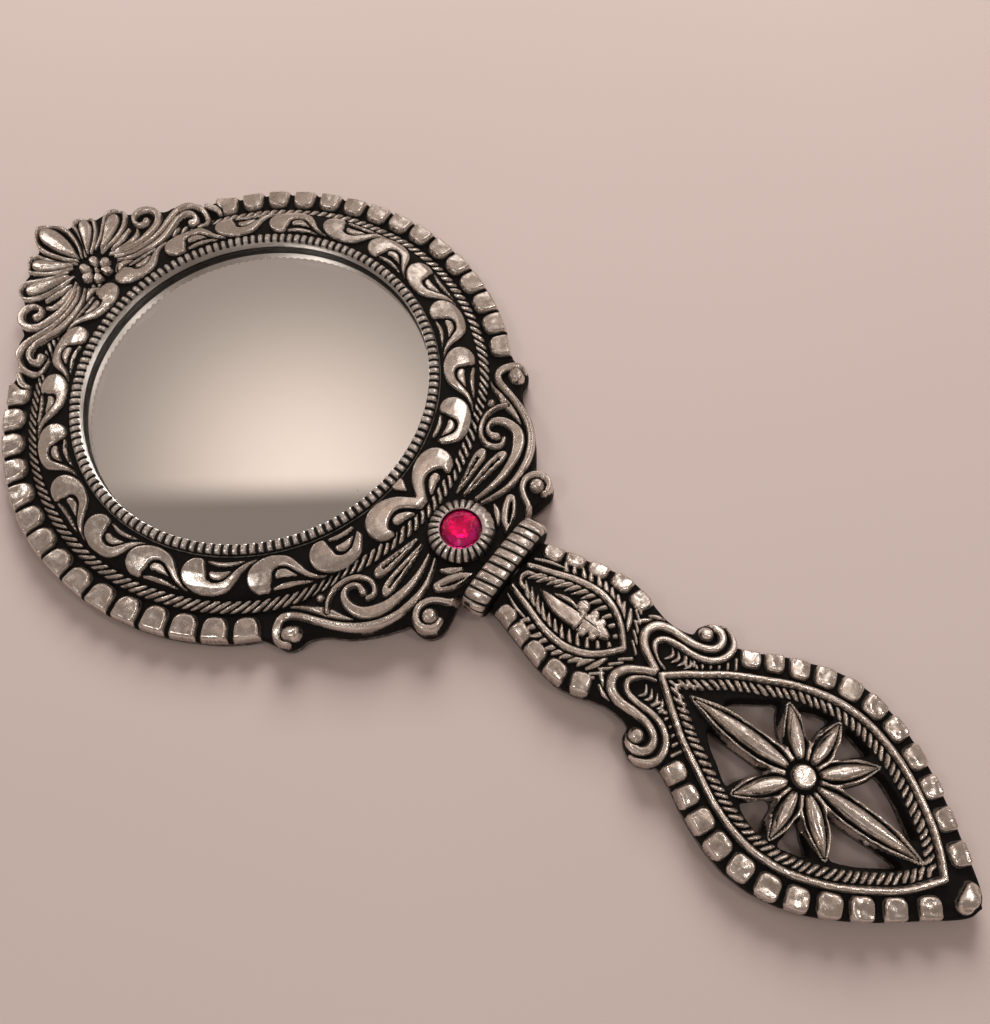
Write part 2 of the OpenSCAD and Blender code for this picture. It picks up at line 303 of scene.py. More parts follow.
def head_relief(x, y):
    """Ornament of the head, in mm above head_floor."""
    x, y = warp(x, y)
    R = Relief(x, y)
    ax = R.ax
    rad = np.hypot(x, y)

    # -- band of paisley scrolls round the glass, and the arch over the stone
    band = np.nonzero((rad > 39.9) & (rad < 48.2))[0]
    if len(band):
        ang = np.degrees(np.arctan2(y[band], ax[band]))
        B = Relief(np.zeros(len(band)), np.zeros(len(band)))
        for k, a0 in enumerate(PAISLEY_ANGLES):
            flip = 1 if (k % 2 == 1) else -1
            if k == len(PAISLEY_ANGLES) - 1:
                flip = 1
            size = 1.03 + 0.03 * math.sin(k * 2.1)
            B.x = (ang - a0) * math.pi / 180 * 43.6 / size
            B.ax = B.x
            B.y = flip * (rad[band] - PAISLEY_R) / 1.05
            B.y = np.where(np.abs(B.x) > 12, 99.0, B.y)
            B.ridge(PAISLEY_BODY, 0.95, 0.34, fold=False, dome=0.08, clear=0.36)
            B.ridge(PAISLEY_CORE, 0.85, 0.34, fold=False, clear=0.2)
            B.ridge(PAISLEY_LEAF, 0.8, 0.3, fold=False)
        low = B.h * sstep(12.4, 13.0, ax[band] + (y[band] > 0) * 30)
        low = low * sstep(0.05, 0.5, ax[band] + (y[band] < 0) * 30)
        R.h[band] = np.maximum(R.h[band], low * sstep(40.5, 40.9, rad[band]) * sstep(48.0, 47.6, rad[band]))

    # -- twisted rope: one long strand after another, the same way all round
    mid = 49.6 - 1.1 * sstep(-36.0, -46.0, y)
    rope = np.nonzero((np.abs(rad - mid) < 1.25) & (np.hypot(ax, y - 52.6) > 3.9))[0]
    if len(rope):
        n = (rad[rope] - mid[rope]) / 1.22
        s = np.arctan2(y[rope], x[rope]) * 49.5
        s = s + 0.25 * noise(x[rope], y[rope], 5.0, 1.0)
        lean = 0.62 + 0.35 * sstep(0, -35, x[rope]) - 0.32 * sstep(20, 45, x[rope]) * sstep(-44, -20, y[rope])
        hgt = rope_height(s, n, 2 * math.pi * 49.5 / 158, lean, open_=0.70)
        R.h[rope] = np.maximum(R.h[rope], 1.0 * hgt * (1 + 0.2 * noise(x[rope], y[rope], 1.6, 7.0)))

    R.ridge(ARCH, 1.05, 0.45, dome=0.12, clear=0.4)
    R.ridge(ARCH_DROP, 0.95, 0.4, clear=0.34)
    R.ridge([[0, -40.5, 1.5], [0, -41.5, 0.95], [0, -42.6, 0.35]], 0.85, 0.35)

    # -- border beads
    ang = np.degrees(np.arctan2(y, ax))
    ring = np.nonzero((rad > 50.2) & (ang < 56) & (ang > -45.2))[0]
    if len(ring):
        pitch = 93.6 / 14
        kf = (ang[ring] + 41.4) / pitch
        k = np.clip(np.round(kf), 0, 14)
        side = np.where(x[ring] > 0, 0.0, 31.0)
        j1 = np.sin(k * 12.9 + side)
        j2 = np.sin(k * 7.3 + side + 2.0)
        t = (kf - k - 0.02 * j2) * pitch * math.pi / 180 * 54.0 / (2.78 + 0.10 * j1)
        q = (rad[ring] - 54.3 - 0.12 * j2) / 3.15
        # rounded towards the glass, square where it meets the edge
        p = np.where(q < 0, 2.7, 6.0)
        m = (np.abs(t) ** p + np.abs(q) ** p) ** (1 / p)
        e = (1 - m) * 2.8
        crown = 1.5 * np.sin(np.clip(e / 0.7, 0, 1) * math.pi / 2) * (e > 0)
        crown = crown + 0.16 * (1 - np.clip(m, 0, 1) ** 2) * (e > 0)
        crown = crown + (e > 0) * np.clip(e / 0.8, 0, 1) * (0.06 * j1 - 0.16 * q + 0.05 * t * j2)
        crown = crown * (1 + 0.07 * noise(x[ring], y[ring], 1.9, 4.4))
        R.h[ring] = np.maximum(R.h[ring], crown)

    # -- leaf crest
    K = lambda pts: moved(pts, 0.994, -0.63)
    R.ridge(K([[0.6, 59.6, 0.3], [2.0, 61.8, 0.5], [3.1, 65, 0.62], [3.65, 68, 0.66], [3.5, 70.6, 0.62],
               [2.7, 72.7, 0.56], [1.5, 74.1, 0.5], [0.0, 74.9, 0.5]]), 1.3, 0.4, clear=0.3)
    R.ridge(K([[1.35, 59.1, 0.3], [2.9, 61, 0.5], [4.25, 63.6, 0.56], [5.1, 66, 0.58],
               [5.6, 68.0, 0.52], [6.6, 69.1, 0.48], [7.9, 68.9, 0.46], [9.1, 67.9, 0.5], [9.7, 66.4, 0.5],
               [9.3, 64.6, 0.5]]), 1.25, 0.4, clear=0.26)
    R.ridge(K([[0, 60.0, 0.25], [0, 62.3, 1.05], [0, 65.2, 1.9], [0, 68.4, 2.25], [0, 71, 2.05],
               [0, 72.3, 1.35]]), 1.45, 0.45, dome=0.18, clear=0.42)
    R.ridge(K([[2.3, 59.4, 0.25], [3.9, 61.2, 0.8], [5.6, 63.3, 1.35], [6.85, 65.2, 1.55],
               [7.35, 66.2, 1.35]]), 1.4, 0.42, dome=0.16, clear=0.34)
    R.ridge(K([[2.9, 58.8, 0.3], [5.4, 60.3, 0.5], [7.8, 62.6, 0.58], [9.4, 65.1, 0.58]]),
            1.25, 0.4, clear=0.28)
    R.ridge(K([[4.3, 58.8, 0.3], [7.4, 60.2, 0.5], [10.3, 62.5, 0.56], [12.2, 64.1, 0.52],
               [13.7, 64.3, 0.46], [15.0, 63.6, 0.46], [15.9, 62.2, 0.5]]),
            1.2, 0.4, clear=0.26)
    R.ridge(K([[5.0, 57.5, 0.3], [8.0, 58.7, 1.0], [10.8, 60.3, 1.6], [12.4, 61.2, 1.6],
               [13.1, 61.6, 1.35]]), 1.4, 0.42, dome=0.16, clear=0.34)
    R.ridge(K([[4.4, 56.7, 0.3], [8.6, 56.8, 0.52], [12.6, 58.0, 0.6], [15.3, 60.2, 0.66],
               [15.9, 62.0, 0.56]]), 1.25, 0.42, clear=0.28)
    R.ridge(K([[6.4, 55.2, 0.35], [9.8, 55.5, 0.72], [13.0, 56.3, 0.5]]), 1.1, 0.42, clear=0.2)
    R.ridge(K([[5.6, 54.6, 0.3], [8.4, 53.7, 0.55], [11.2, 53.2, 0.72], [13.2, 53.6, 0.62],
               [14.2, 54.7, 0.4]]), 1.1, 0.42, clear=0.22)
    # small scroll
    R.ridge(K([[5.2, 54.7, 0.35], [7.5, 53.0, 0.55], [11.0, 51.6, 0.66], [15.0, 51.4, 0.85],
               [18.4, 52.1, 0.95], [20.2, 53.9, 1.0], [20.4, 56.2, 1.0], [19.2, 57.9, 0.96],
               [17.1, 58.4, 0.84], [15.5, 57.2, 0.72], [15.3, 55.3, 0.72], [16.4, 54.4, 0.85],
               [17.3, 54.7, 1.0]]), 1.35, 0.5, clear=0.3)
    # large scroll, of two ridges side by side
    R.ridge(K([[5.6, 53.3, 0.35], [8.4, 51.0, 0.5], [12.4, 49.7, 0.6], [16.8, 49.6, 0.7],
               [20.6, 50.5, 0.78], [24.0, 51.0, 0.82], [26.8, 49.8, 0.86], [28.2, 47.3, 0.86],
               [27.7, 44.9, 0.84], [25.9, 43.3, 0.8], [23.8, 43.3, 0.7]]), 1.3, 0.5, clear=0.3)
    R.ridge(K([[5.2, 51.7, 0.35], [8.0, 49.3, 0.6], [12.0, 47.9, 0.8], [16.4, 47.6, 0.9],
               [20.0, 48.4, 0.85], [22.4, 48.9, 0.75], [24.7, 48.4, 0.8], [25.7, 46.9, 0.8],
               [24.9, 45.7, 0.9], [23.7, 45.9, 1.05]]), 1.4, 0.52, clear=0.34)
    R.ridge(K([[29.8, 46.9, 0.7], [30.9, 45.0, 0.95], [30.6, 43.4, 0.8]]), 1.2, 0.5, clear=0.25)
    R.ridge(K([[3.0, 48.6, 0.35], [4.8, 49.8, 0.8], [7.2, 48.7, 0.35]]), 1.15, 0.42, clear=0.25)
    # rosette
    R.ridge([[0.1, 52.6, 4.0]], 0.0, clear=0.26)
    for a in (0, 60, 120, 180, 240, 300):
        c, s = math.cos(math.radians(a)), math.sin(math.radians(a))
        R.ridge([[0.1 + 1.9 * c, 52.6 + 1.9 * s, 0.7], [0.1 + 2.85 * c, 52.6 + 2.85 * s, 1.17]],
                1.6, 0.34, fold=False)
    for a in (30, 90, 150, 210, 270, 330):
        c, s = math.cos(math.radians(a)), math.sin(math.radians(a))
        R.groove([[0.1 + 0.9 * c, 52.6 + 0.9 * s, 0.2], [0.1 + 3.8 * c, 52.6 + 3.8 * s, 0.24]],
                 1.0, 0.14, fold=False)
    R.ridge([[0.1, 52.6, 0.6]], 1.5, 0.36, fold=False, clear=0.24)

    # -- wings beside the stone
    R.ridge([[37.8, -44.0, 1.0], [38.3, -42.2, 1.1], [37.2, -40.5, 1.15], [35.1, -39.6, 1.1],
             [33.4, -40.5, 1.0], [32.2, -42.8, 0.88], [31.1, -46.0, 0.86], [29.8, -49.4, 0.92],
             [27.9, -52.7, 0.98], [25.1, -55.6, 0.98], [21.5, -57.6, 0.95], [17.6, -58.5, 0.88],
             [13.6, -58.5, 0.76], [10.2, -57.5, 0.6], [7.6, -56.3, 0.4]], 1.5, 0.55, dome=0.06, clear=0.36)
    R.groove([[32.0, -43.6, 0.08], [30.5, -47.8, 0.14], [28.2, -52.2, 0.14], [24.6, -55.9, 0.14],
              [20.4, -57.9, 0.08]], 0.45, 0.14)
    R.ridge([[32.0, -39.5, 0.35], [30.9, -41.2, 0.52], [29.9, -43.6, 0.66], [28.8, -46.2, 1.0],
             [28.2, -48.2, 0.85], [27.5, -50.2, 0.5], [26.9, -51.5, 0.22]], 1.3, 0.45, clear=0.28)
    R.ridge([[35.6, -44.0, 1.75], [36.2, -43.0, 1.8]], 1.85, 1.0, dome=0.2, clear=0.14)
    # spiral: a thin arc outside, and the broad end of the long feather curled up inside it
    R.ridge([[28.6, -46.4, 0.6], [27.0, -45.2, 0.6], [24.5, -44.5, 0.64], [21.9, -45.0, 0.64],
             [19.9, -46.4, 0.66], [18.9, -48.4, 0.66], [19.2, -50.4, 0.68], [20.5, -51.5, 0.68],
             [21.9, -51.1, 0.68]], 1.4, 0.48, clear=0.3)
    R.ridge([[21.5, -49.5, 0.9], [21.1, -48.1, 0.72], [21.6, -46.95, 0.68], [22.9, -46.4, 0.7],
             [24.2, -46.9, 0.88], [25.05, -48.3, 1.04], [25.3, -50.2, 1.16], [24.7, -52.3, 1.36],
             [22.8, -54.1, 1.42], [19.8, -55.4, 1.2], [15.6, -56.0, 0.94], [11.4, -55.7, 0.7],
             [7.6, -54.8, 0.4]], 1.45, 0.52, clear=0.32)
    R.dot(27.3, -43.3, 0.95, 1.2, 0.6)
    # feathers, each with a line down the middle
    R.ridge([[6.6, -50.7, 0.35], [10.0, -50.2, 0.75], [13.4, -49.75, 1.2], [15.6, -49.5, 1.38],
             [16.6, -49.4, 1.15]], 1.35, 0.5, clear=0.32)
    R.groove([[8.2, -50.5, 0.2], [12.0, -50.0, 0.36], [15.2, -49.5, 0.44]], 1.15, 0.2)
    R.ridge([[7.0, -52.3, 0.4], [11.0, -52.5, 0.82], [15.0, -52.7, 1.22], [17.8, -53.0, 1.26],
             [18.9, -53.2, 0.95]], 1.35, 0.48, clear=0.3)
    R.groove([[8.6, -52.4, 0.22], [13.4, -52.7, 0.4], [17.5, -53.0, 0.44]], 1.15, 0.2)
    # strokes, stem and curl by the collar
    R.ridge([[11.7, -60.5, 1.2], [9.7, -61.7, 1.6], [7.5, -62.9, 1.25], [5.7, -64.2, 0.5]],
            1.35, 0.5, clear=0.32)
    R.groove([[11.3, -61.0, 0.3], [9.4, -62.2, 0.46], [7.3, -63.4, 0.28]], 1.1, 0.2)
    R.ridge([[8.7, -58.7, 0.45], [7.7, -60.1, 0.8], [6.0, -61.7, 0.45]], 1.1, 0.42, clear=0.2)
    R.ridge([[10.6, -65.6, 0.6], [12.6, -64.2, 0.8], [13.8, -62.2, 0.8], [15.2, -60.7, 0.82],
             [17.4, -60.2, 0.85], [19.3, -61.3, 0.9], [19.8, -63.3, 0.95], [18.6, -65.0, 0.95],
             [16.7, -65.0, 0.8]], 1.4, 0.52, clear=0.34)
    R.ridge([[17.2, -62.9, 1.75]], 1.8, 1.0, dome=0.2, clear=0.16)
    return R.h


def head_surface(x, y):
    h = head_relief(x, y)
    z = head_floor(x, y) + h
    z = z + 0.035 * noise(x, y, 2.3, 2.2) + 0.02 * noise(x, y, 0.9, 6.1)
    z = z - 0.05 * np.clip(0.25 - h, 0, 1) * (1 + noise(x, y, 0.7, 9.3))
    return z, h


def head_ease(z, h, edge):
    """Round the surface over towards the outline. `edge` is the distance in from it."""
    fall = np.sin(np.clip(edge / 0.8, 0, 1) * math.pi / 2) ** 0.7
    side = np.minimum(z, 2.6 + 0.45 * h)
    return side + (z - side) * fall


# ---------------------------------------------------------------------------
# Handle: outline, openings and ornament
# ---------------------------------------------------------------------------
HANDLE_HALF = [[8.9, -70.9], [9.0, -73.0], [9.9, -76.2], [10.7, -79.2], [11.7, -82.6],
               [12.5, -86.4], [12.8, -90.0], [12.2, -93.6], [11.1, -96.6], [10.3, -99.6],
               [10.3, -102.6], [11.0, -104.8], [13.0, -105.2], [15.0, -107.2], [15.6, -109.8],
               [14.6, -112.2], [13.8, -113.4], [15.3, -116.8], [17.3, -120.2], [19.2, -124.4],
               [20.8, -128.8], [21.6, -133.2], [21.3, -138.0], [20.0, -143.0], [17.8, -148.0],
               [14.9, -152.9], [11.4, -157.6], [7.5, -162.2], [4.3, -166.0], [2.1, -168.1],
               [0, -168.9]]
HOLES = [
    [[2.75, -117.0], [4.6, -118.2], [6.9, -121.4], [8.9, -124.4], [7.2, -125.5], [5.0, -127.0],
     [3.0, -128.8], [2.7, -124.5], [2.75, -120.5]],
    [[6.6, -131.6], [8.6, -129.5], [10.2, -128.2], [11.6, -130.2], [12.2, -133.3], [9.8, -133.0],
     [7.2, -132.8]],
    [[7.0, -137.0], [9.6, -137.0], [12.1, -136.9], [11.7, -139.2], [10.7, -141.6], [8.8, -139.8],
     [7.0, -138.2]],
    [[2.75, -141.0], [4.4, -142.4], [6.4, -143.8], [8.6, -145.0], [7.2, -148.6], [5.2, -151.6],
     [2.7, -154.6], [2.5, -150.0], [2.75, -145.5]],
]
PANEL = [[0.0, -104.4, 0.62], [2.9, -107.9, 0.62], [5.2, -110.9, 0.62], [7.8, -114.4, 0.62],
         [10.7, -119.6, 0.62], [13.6, -125.1, 0.64], [15.4, -131.0, 0.66], [15.7, -136.0, 0.66],
         [14.9, -140.8, 0.64], [12.6, -146.8, 0.62], [9.1, -152.4, 0.62], [5.0, -157.4, 0.62],
         [0.0, -161.3, 0.62]]
HANDLE_BEADS = [[7.9, -74.2, 3.6, 4.0, -80], [9.2, -78.5, 3.6, 3.9, -74], [10.4, -83.2, 3.7, 4.1, -80],
                [10.8, -88.4, 3.8, 4.2, -92], [9.7, -93.4, 3.7, 3.9, -112],
                [12.7, -115.6, 3.9, 3.6, -60], [14.7, -119.6, 3.9, 3.6, -62], [16.6, -123.9, 4.0, 3.8, -66],
                [18.1, -128.4, 3.9, 4.0, -74], [18.8, -133.3, 3.9, 4.2, -88], [18.6, -138.4, 3.9, 4.2, -99],
                [17.4, -143.3, 3.9, 4.1, -108], [15.0, -148.2, 3.9, 4.1, -117],
                [12.2, -152.7, 3.9, 4.0, -124], [8.9, -157.1, 3.9, 4.0, -128],
                [5.2, -161.5, 3.9, 4.0, -131]]


def handle_loop():
    half = spline(HANDLE_HALF, step=0.25)
    left = half[:-1][::-1].copy()
    left[:, 0] *= -1
    loop = np.vstack([half, left])
    wob = 0.1 * noise(loop[:, 0], loop[:, 1], 7.0, 15.5)
    loop[:, 0] += np.sign(loop[:, 0]) * wob * (loop[:, 1] < -73) * (np.abs(loop[:, 0]) > 0.5)
    return loop


def hole_loops():
    out = []
    for h in HOLES:
        c = spline(h, closed=True, step=0.2)
        out.append(c)
        out.append(c * [-1, 1])
    return out


def handle_relief(x, y):
    x, y = warp(x, y)
    R = Relief(x, y)
    ax = R.ax
    k, oy = 1.0103, 1.08
    C = lambda pts: moved(pts, k, oy)

    # edge beads
    for n, (bx, by, a, b, turn) in enumerate(HANDLE_BEADS):
        t = math.radians(turn)
        bx, by, a = bx + 0.35 * abs(math.sin(t)), by - 0.35 * abs(math.cos(t)) * (by < -110), a + 0.35
        for sgn in (1, -1):
            j = math.sin(n * 5.1 + sgn * 2.3) * 0.16
            near = np.nonzero((np.abs(x * sgn - bx) < 3.8) & (np.abs(y - by) < 3.8))[0]
            if not len(near):
                continue
            t = math.radians(turn)
            dx, dy = x[near] * sgn - bx, y[near] - by - j * 0.6
            u = (dx * math.cos(t) + dy * math.sin(t)) / (b * 0.56 + j * 0.4)     # along the edge
            v = (-dx * math.sin(t) + dy * math.cos(t)) / (a * 0.56)               # across it
            m = (np.abs(u) ** 3.2 + np.abs(v) ** 3.2) ** (1 / 3.2)
            e = (1 - m) * 2.3
            crown = (1.35 + j) * np.sin(np.clip(e / 0.62, 0, 1) * math.pi / 2) * (e > 0)
            crown = crown + 0.16 * (1 - np.clip(m, 0, 1) ** 2) * (e > 0)
            crown = crown + (e > 0) * np.clip(e, 0, 1) * 0.10 * (u * math.sin(n * 3.7) + v * math.cos(n * 2.9))
            crown = crown * (1 + 0.12 * noise(x[near], y[near], 1.3, 4.4))
            R.h[near] = np.maximum(R.h[near], crown)
    R.ridge([[-1.15, -165.9, 1.8], [1.15, -165.9, 1.8]], 1.45, 0.6, fold=False, dome=0.12)

    # almond panel: hatching inside and out, then the ridge and the bud
    for i in range(12):
        yy = -74.8 - i * 1.72
        jj = 0.15 * math.sin(i * 2.7)
        xr = np.interp(-yy, [72.5, 77, 81, 85, 88, 91, 94, 95.8], [2.7, 4.2, 5.7, 6.3, 6.1, 4.8, 2.6, 0.2])
        if xr > 1.9:
            R.ridge([[max(xr - 3.3, 0.4), yy + 1.3 + jj, 0.2], [xr - 1.8, yy + 0.2, 0.54],
                     [xr - 0.5, yy - 0.9, 0.55]], 1.1, 0.36)
        if yy < -77:
            xe = xr + 2.7 if yy > -89 else 8.4 - 0.25 * (-89 - yy)
            R.ridge([[xr + 0.6, yy - 0.8, 0.44], [(xr + xe) / 2 + 0.2, yy + jj, 0.64],
                     [xe, yy + 0.9, 0.42]], 1.05, 0.36)
    for i in range(5):
        R.ridge([[0.6 + i * 1.8, -98.4 + i * 0.9, 0.4], [2.2 + i * 1.8, -96.5 + i * 0.9, 0.36]], 0.95, 0.34)
    for stroke in ([[5.6, -94.9, 0.3], [6.9, -96.0, 0.52], [8.0, -97.4, 0.34]],
                   [[8.3, -96.4, 0.34], [9.2, -98.2, 0.5], [9.3, -100.6, 0.34]]):
        R.ridge(stroke, 1.0, 0.34)
    R.ridge([[4.5, -72.0, 0.3], [5.7, -74.8, 0.42], [6.4, -77.4, 0.3]], 1.0, 0.34)
    R.ridge(C([[2.7, -72.2, 0.62], [4.2, -76.8, 0.7], [5.7, -81.0, 0.76], [6.35, -85.0, 0.8],
               [6.1, -88.2, 0.8], [4.8, -91.3, 0.76], [2.6, -94.0, 0.72], [0.0, -96.2, 0.72]]),
            1.45, 0.5, clear=0.38)
    R.ridge([[1.9, -74.6, 0.3], [1.2, -72.8, 0.52], [0, -72.2, 0.55]], 1.05, 0.4)
    # bud: a long leaf split down one side, and a lobed base
    R.ridge([[-0.1, -76.6, 0.15], [-0.7, -79.2, 1.0], [-1.15, -81.8, 1.55], [-1.1, -84.4, 1.8],
             [-0.5, -86.8, 2.0], [0.0, -89.0, 2.0], [0.0, -90.9, 1.4], [0.0, -92.2, 0.8]],
            1.55, 0.55, fold=False, dome=0.2, clear=0.45)
    for px, py, w in ((2.1, -85.4, 1.5), (-2.0, -86.5, 1.05)):
        R.ridge([[px, py, w]], 1.6, 0.6, fold=False, dome=0.1)
    for px, py, w in ((1.95, -88.1, 1.15), (1.55, -90.1, 1.0), (0.0, -91.7, 1.05)):
        R.ridge([[px, py, w]], 1.5, 0.5)
    R.groove([[0.2, -78.6, 0.12], [0.3, -81.2, 0.2], [0.45, -83.6, 0.22], [0.3, -86.0, 0.2]], 0.9, 0.16, fold=False)
    R.ridge([[0.8, -79.4, 0.15], [1.25, -81.4, 0.5], [1.35, -83.0, 0.5], [1.0, -84.4, 0.4]],
            1.35, 0.4, fold=False)
    R.groove([[0.0, -86.0, 0.14], [0.1, -88.0, 0.18], [0.0, -90.8, 0.12]], 0.5, 0.14, fold=False)
    R.groove([[0.8, -87.0, 0.12], [1.8, -86.9, 0.2], [3.2, -86.6, 0.3]], 0.9, 0.18)
    for py, q in ((-89.15, 2.9), (-91.1, 2.2)):
        R.groove([[0.8, py, 0.1], [q, py + 0.25, 0.26]], 0.85, 0.18)

    # double-ridged scrolls
    for i in range(6):
        R.ridge([[3.0 + 0.15 * i, -103.2 - 1.3 * i, 0.2], [4.5 + 0.1 * i, -104.0 - 1.25 * i, 0.42],
                 [5.7, -103.2 - 1.3 * i, 0.2]], 0.75, 0.3)
    for i in range(7):
        px, py = 4.3 + 0.82 * i, -107.0 - 1.3 * i
        R.ridge([[px, py, 0.36], [px + 1.7, py + 0.95, 0.42]], 0.95, 0.32)
    R.ridge(C([[1.4, -104.2, 0.35], [2.1, -102.0, 0.6], [4.4, -100.2, 0.74], [6.1, -101.1, 0.74],
               [6.75, -103.6, 0.74], [6.8, -107.0, 0.74], [7.7, -109.9, 0.76], [9.9, -111.9, 0.82],
               [12.7, -112.2, 0.86], [14.7, -110.6, 0.84], [15.0, -108.4, 0.7]]), 1.3, 0.5, clear=0.36)
    R.ridge(C([[0.0, -103.6, 0.85], [1.2, -101.2, 0.9], [3.0, -98.7, 0.98], [5.3, -97.7, 1.05],
               [7.5, -98.7, 1.05], [8.5, -101.2, 1.0], [8.5, -104.2, 0.95], [8.8, -107.2, 0.9],
               [10.1, -109.5, 0.92], [12.1, -110.0, 0.98], [13.6, -108.8, 1.0], [13.4, -107.0, 1.0],
               [12.2, -106.1, 0.95]]), 1.55, 0.62, dome=0.06, clear=0.38)
    R.ridge(C([[11.7, -106.9, 1.6]]), 1.75, 0.9, dome=0.15, clear=0.14)

    # rope inside the panel's ridge
    rp = spline([[p[0], p[1]] for p in PANEL], step=0.15)
    seg = np.cumsum(np.r_[0, np.hypot(*np.diff(rp, axis=0).T)])
    tan = np.gradient(rp, axis=0)
    tan /= np.maximum(np.hypot(tan[:, 0], tan[:, 1]), 1e-9)[:, None]
    near = np.nonzero((y < -105) & (y > -162) & (ax < 17))[0]
    for s in range(0, len(near), 20000):
        i = near[s:s + 20000]
        dx = ax[i][:, None] - rp[None, :, 0]
        dy = y[i][:, None] - rp[None, :, 1]
        j = (dx * dx + dy * dy).argmin(1)
        m = np.arange(len(i))
        side = tan[j, 1] * dx[m, j] - tan[j, 0] * dy[m, j]      # how far inside the ridge
        n = (side - 1.85) / 1.12
        along = seg[j] + 0.35 * noise(x[i], y[i], 3.0, 3.0)
        hgt = rope_height(along, -n, 1.5, 0.6, open_=0.64) * (np.abs(n) < 1)
        R.h[i] = np.maximum(R.h[i], 1.0 * hgt * (1 + 0.3 * noise(x[i], y[i], 1.4, 9.0)))
    R.ridge([[p[0], p[1], p[2] + 0.12] for p in PANEL], 1.5, 0.5, clear=0.28)
    R.ridge([[0.0, -107.4, 0.4], [1.3, -109.2, 0.42], [2.6, -111.4, 0.25]], 0.9, 0.34)

    # pierced flower: a raised lens with thin rims, eight times
    petals = [(0, 23.4, 1.7, 2.42), (180, 22.8, 1.7, 2.4), (49, 13.0, 1.6, 2.15),
              (92, 12.3, 1.38, 1.95), (135, 13.5, 1.55, 2.1)]
    for turn, length, w, rim in petals:
        c, s = math.sin(math.radians(turn)), math.cos(math.radians(turn))

        def at(u, v):
            return [u * c + v * s, -134.4 + u * s - v * c]
        us = [2.7, 2.7 + 0.18 * (length - 2.7), 2.7 + 0.42 * (length - 2.7),
              2.7 + 0.7 * (length - 2.7), length]
        prof = [0.35, 0.82, 1.0, 0.75, 0.0]
        rims = [0.45, 0.92, 1.0, 0.75, 0.0]
        for sd in (1, -1):
            R.ridge([at(u, sd * rim * q) + [0.42] for u, q in zip(us, rims)], 1.45, 0.34)
        R.ridge([at(2.9 + (u - 2.7) * 0.95, 0) + [max(0.2, w * q)] for u, q in zip(us, prof)],
                1.8, 0.85, dome=0.4, clear=0.26)
    R.ridge([[0, -134.2, 2.75]], 0.0, clear=0.5)
    i = np.nonzero(np.hypot(x, y + 134.2) < 3.0)[0]
    q = np.hypot(x[i], y[i] + 134.2)
    R.h[i] = np.where(q < 2.9, 0.25, R.h[i])
    R.h[i] = np.maximum(R.h[i], 2.2 * np.sin(np.clip((2.3 - q) / 0.5, 0, 1) * math.pi / 2))
    return R.h


def handle_surface(x, y):
    h = handle_relief(x, y)
    f = np.interp(-y, [70, 74, 98, 106, 125, 150, 168], [5.2, 5.3, 5.4, 5.3, 5.1, 4.9, 4.5])
    ax = np.abs(x)
    wide = np.interp(-y, [70, 90, 100, 110, 133, 150, 168], [9, 12.6, 10.4, 15, 21.4, 16, 0.5])
    f = f - 0.9 * np.clip(ax / wide, 0, 1) ** 2.5
    f = np.maximum(f, 5.75 * sstep(-89.0, -86.5, y) * sstep(3.2, 2.3, ax))
    z = f + h + 0.05 * noise(x, y, 2.1, 12.2) + 0.04 * noise(x, y, 0.9, 16.1)
    z = z - 0.05 * np.clip(0.25 - h, 0, 1) * (1 + noise(x, y, 0.7, 9.3))
    return z, h


def handle_ease(z, h, edge):
    fall = np.sin(np.clip(edge / 0.7, 0, 1) * math.pi / 2) ** 0.7
    side = np.minimum(z, 2.9 + 0.4 * h)
    return side + (z - side) * fall


# ---------------------------------------------------------------------------
# Meshes
# ---------------------------------------------------------------------------
def shade_of(z, h, n, wrap=False):
    """0 in the blackened recesses, 1 on the buffed tops."""
    c1 = z - blur(z, n, wrap)
    c2 = z - blur(z, n * 3, wrap)
    s = 0.60 + 0.75 * c1 + 0.35 * c2
    s = s * (0.12 + 0.88 * sstep(0.18, 0.62, h))
    return np.clip(s, 0, 1)


def make_object(name, verts, faces, shade=None, smooth_angle=None):
    me = bpy.data.meshes.new(name)
    me.from_pydata([tuple(v) for v in (np.asarray(verts) * MM)], [], faces)
    me.validate()
    me.update()
    me.polygons.foreach_set("use_smooth", [True] * len(me.polygons))
    if shade is not None:
        a = me.attributes.new("shade", "FLOAT", "POINT")
        a.data.foreach_set("value", np.asarray(shade, dtype=np.float32))
    ob = bpy.data.objects.new(name, me)
    bpy.context.scene.collection.objects.link(ob)
    if smooth_angle is not None:
        bm = bmesh.new()
        bm.from_mesh(me)
        for e in bm.edges:
            if len(e.link_faces) == 2 and e.calc_face_angle(0) > smooth_angle:
                e.smooth = False
        bm.to_mesh(me)
        bm.free()
    return ob


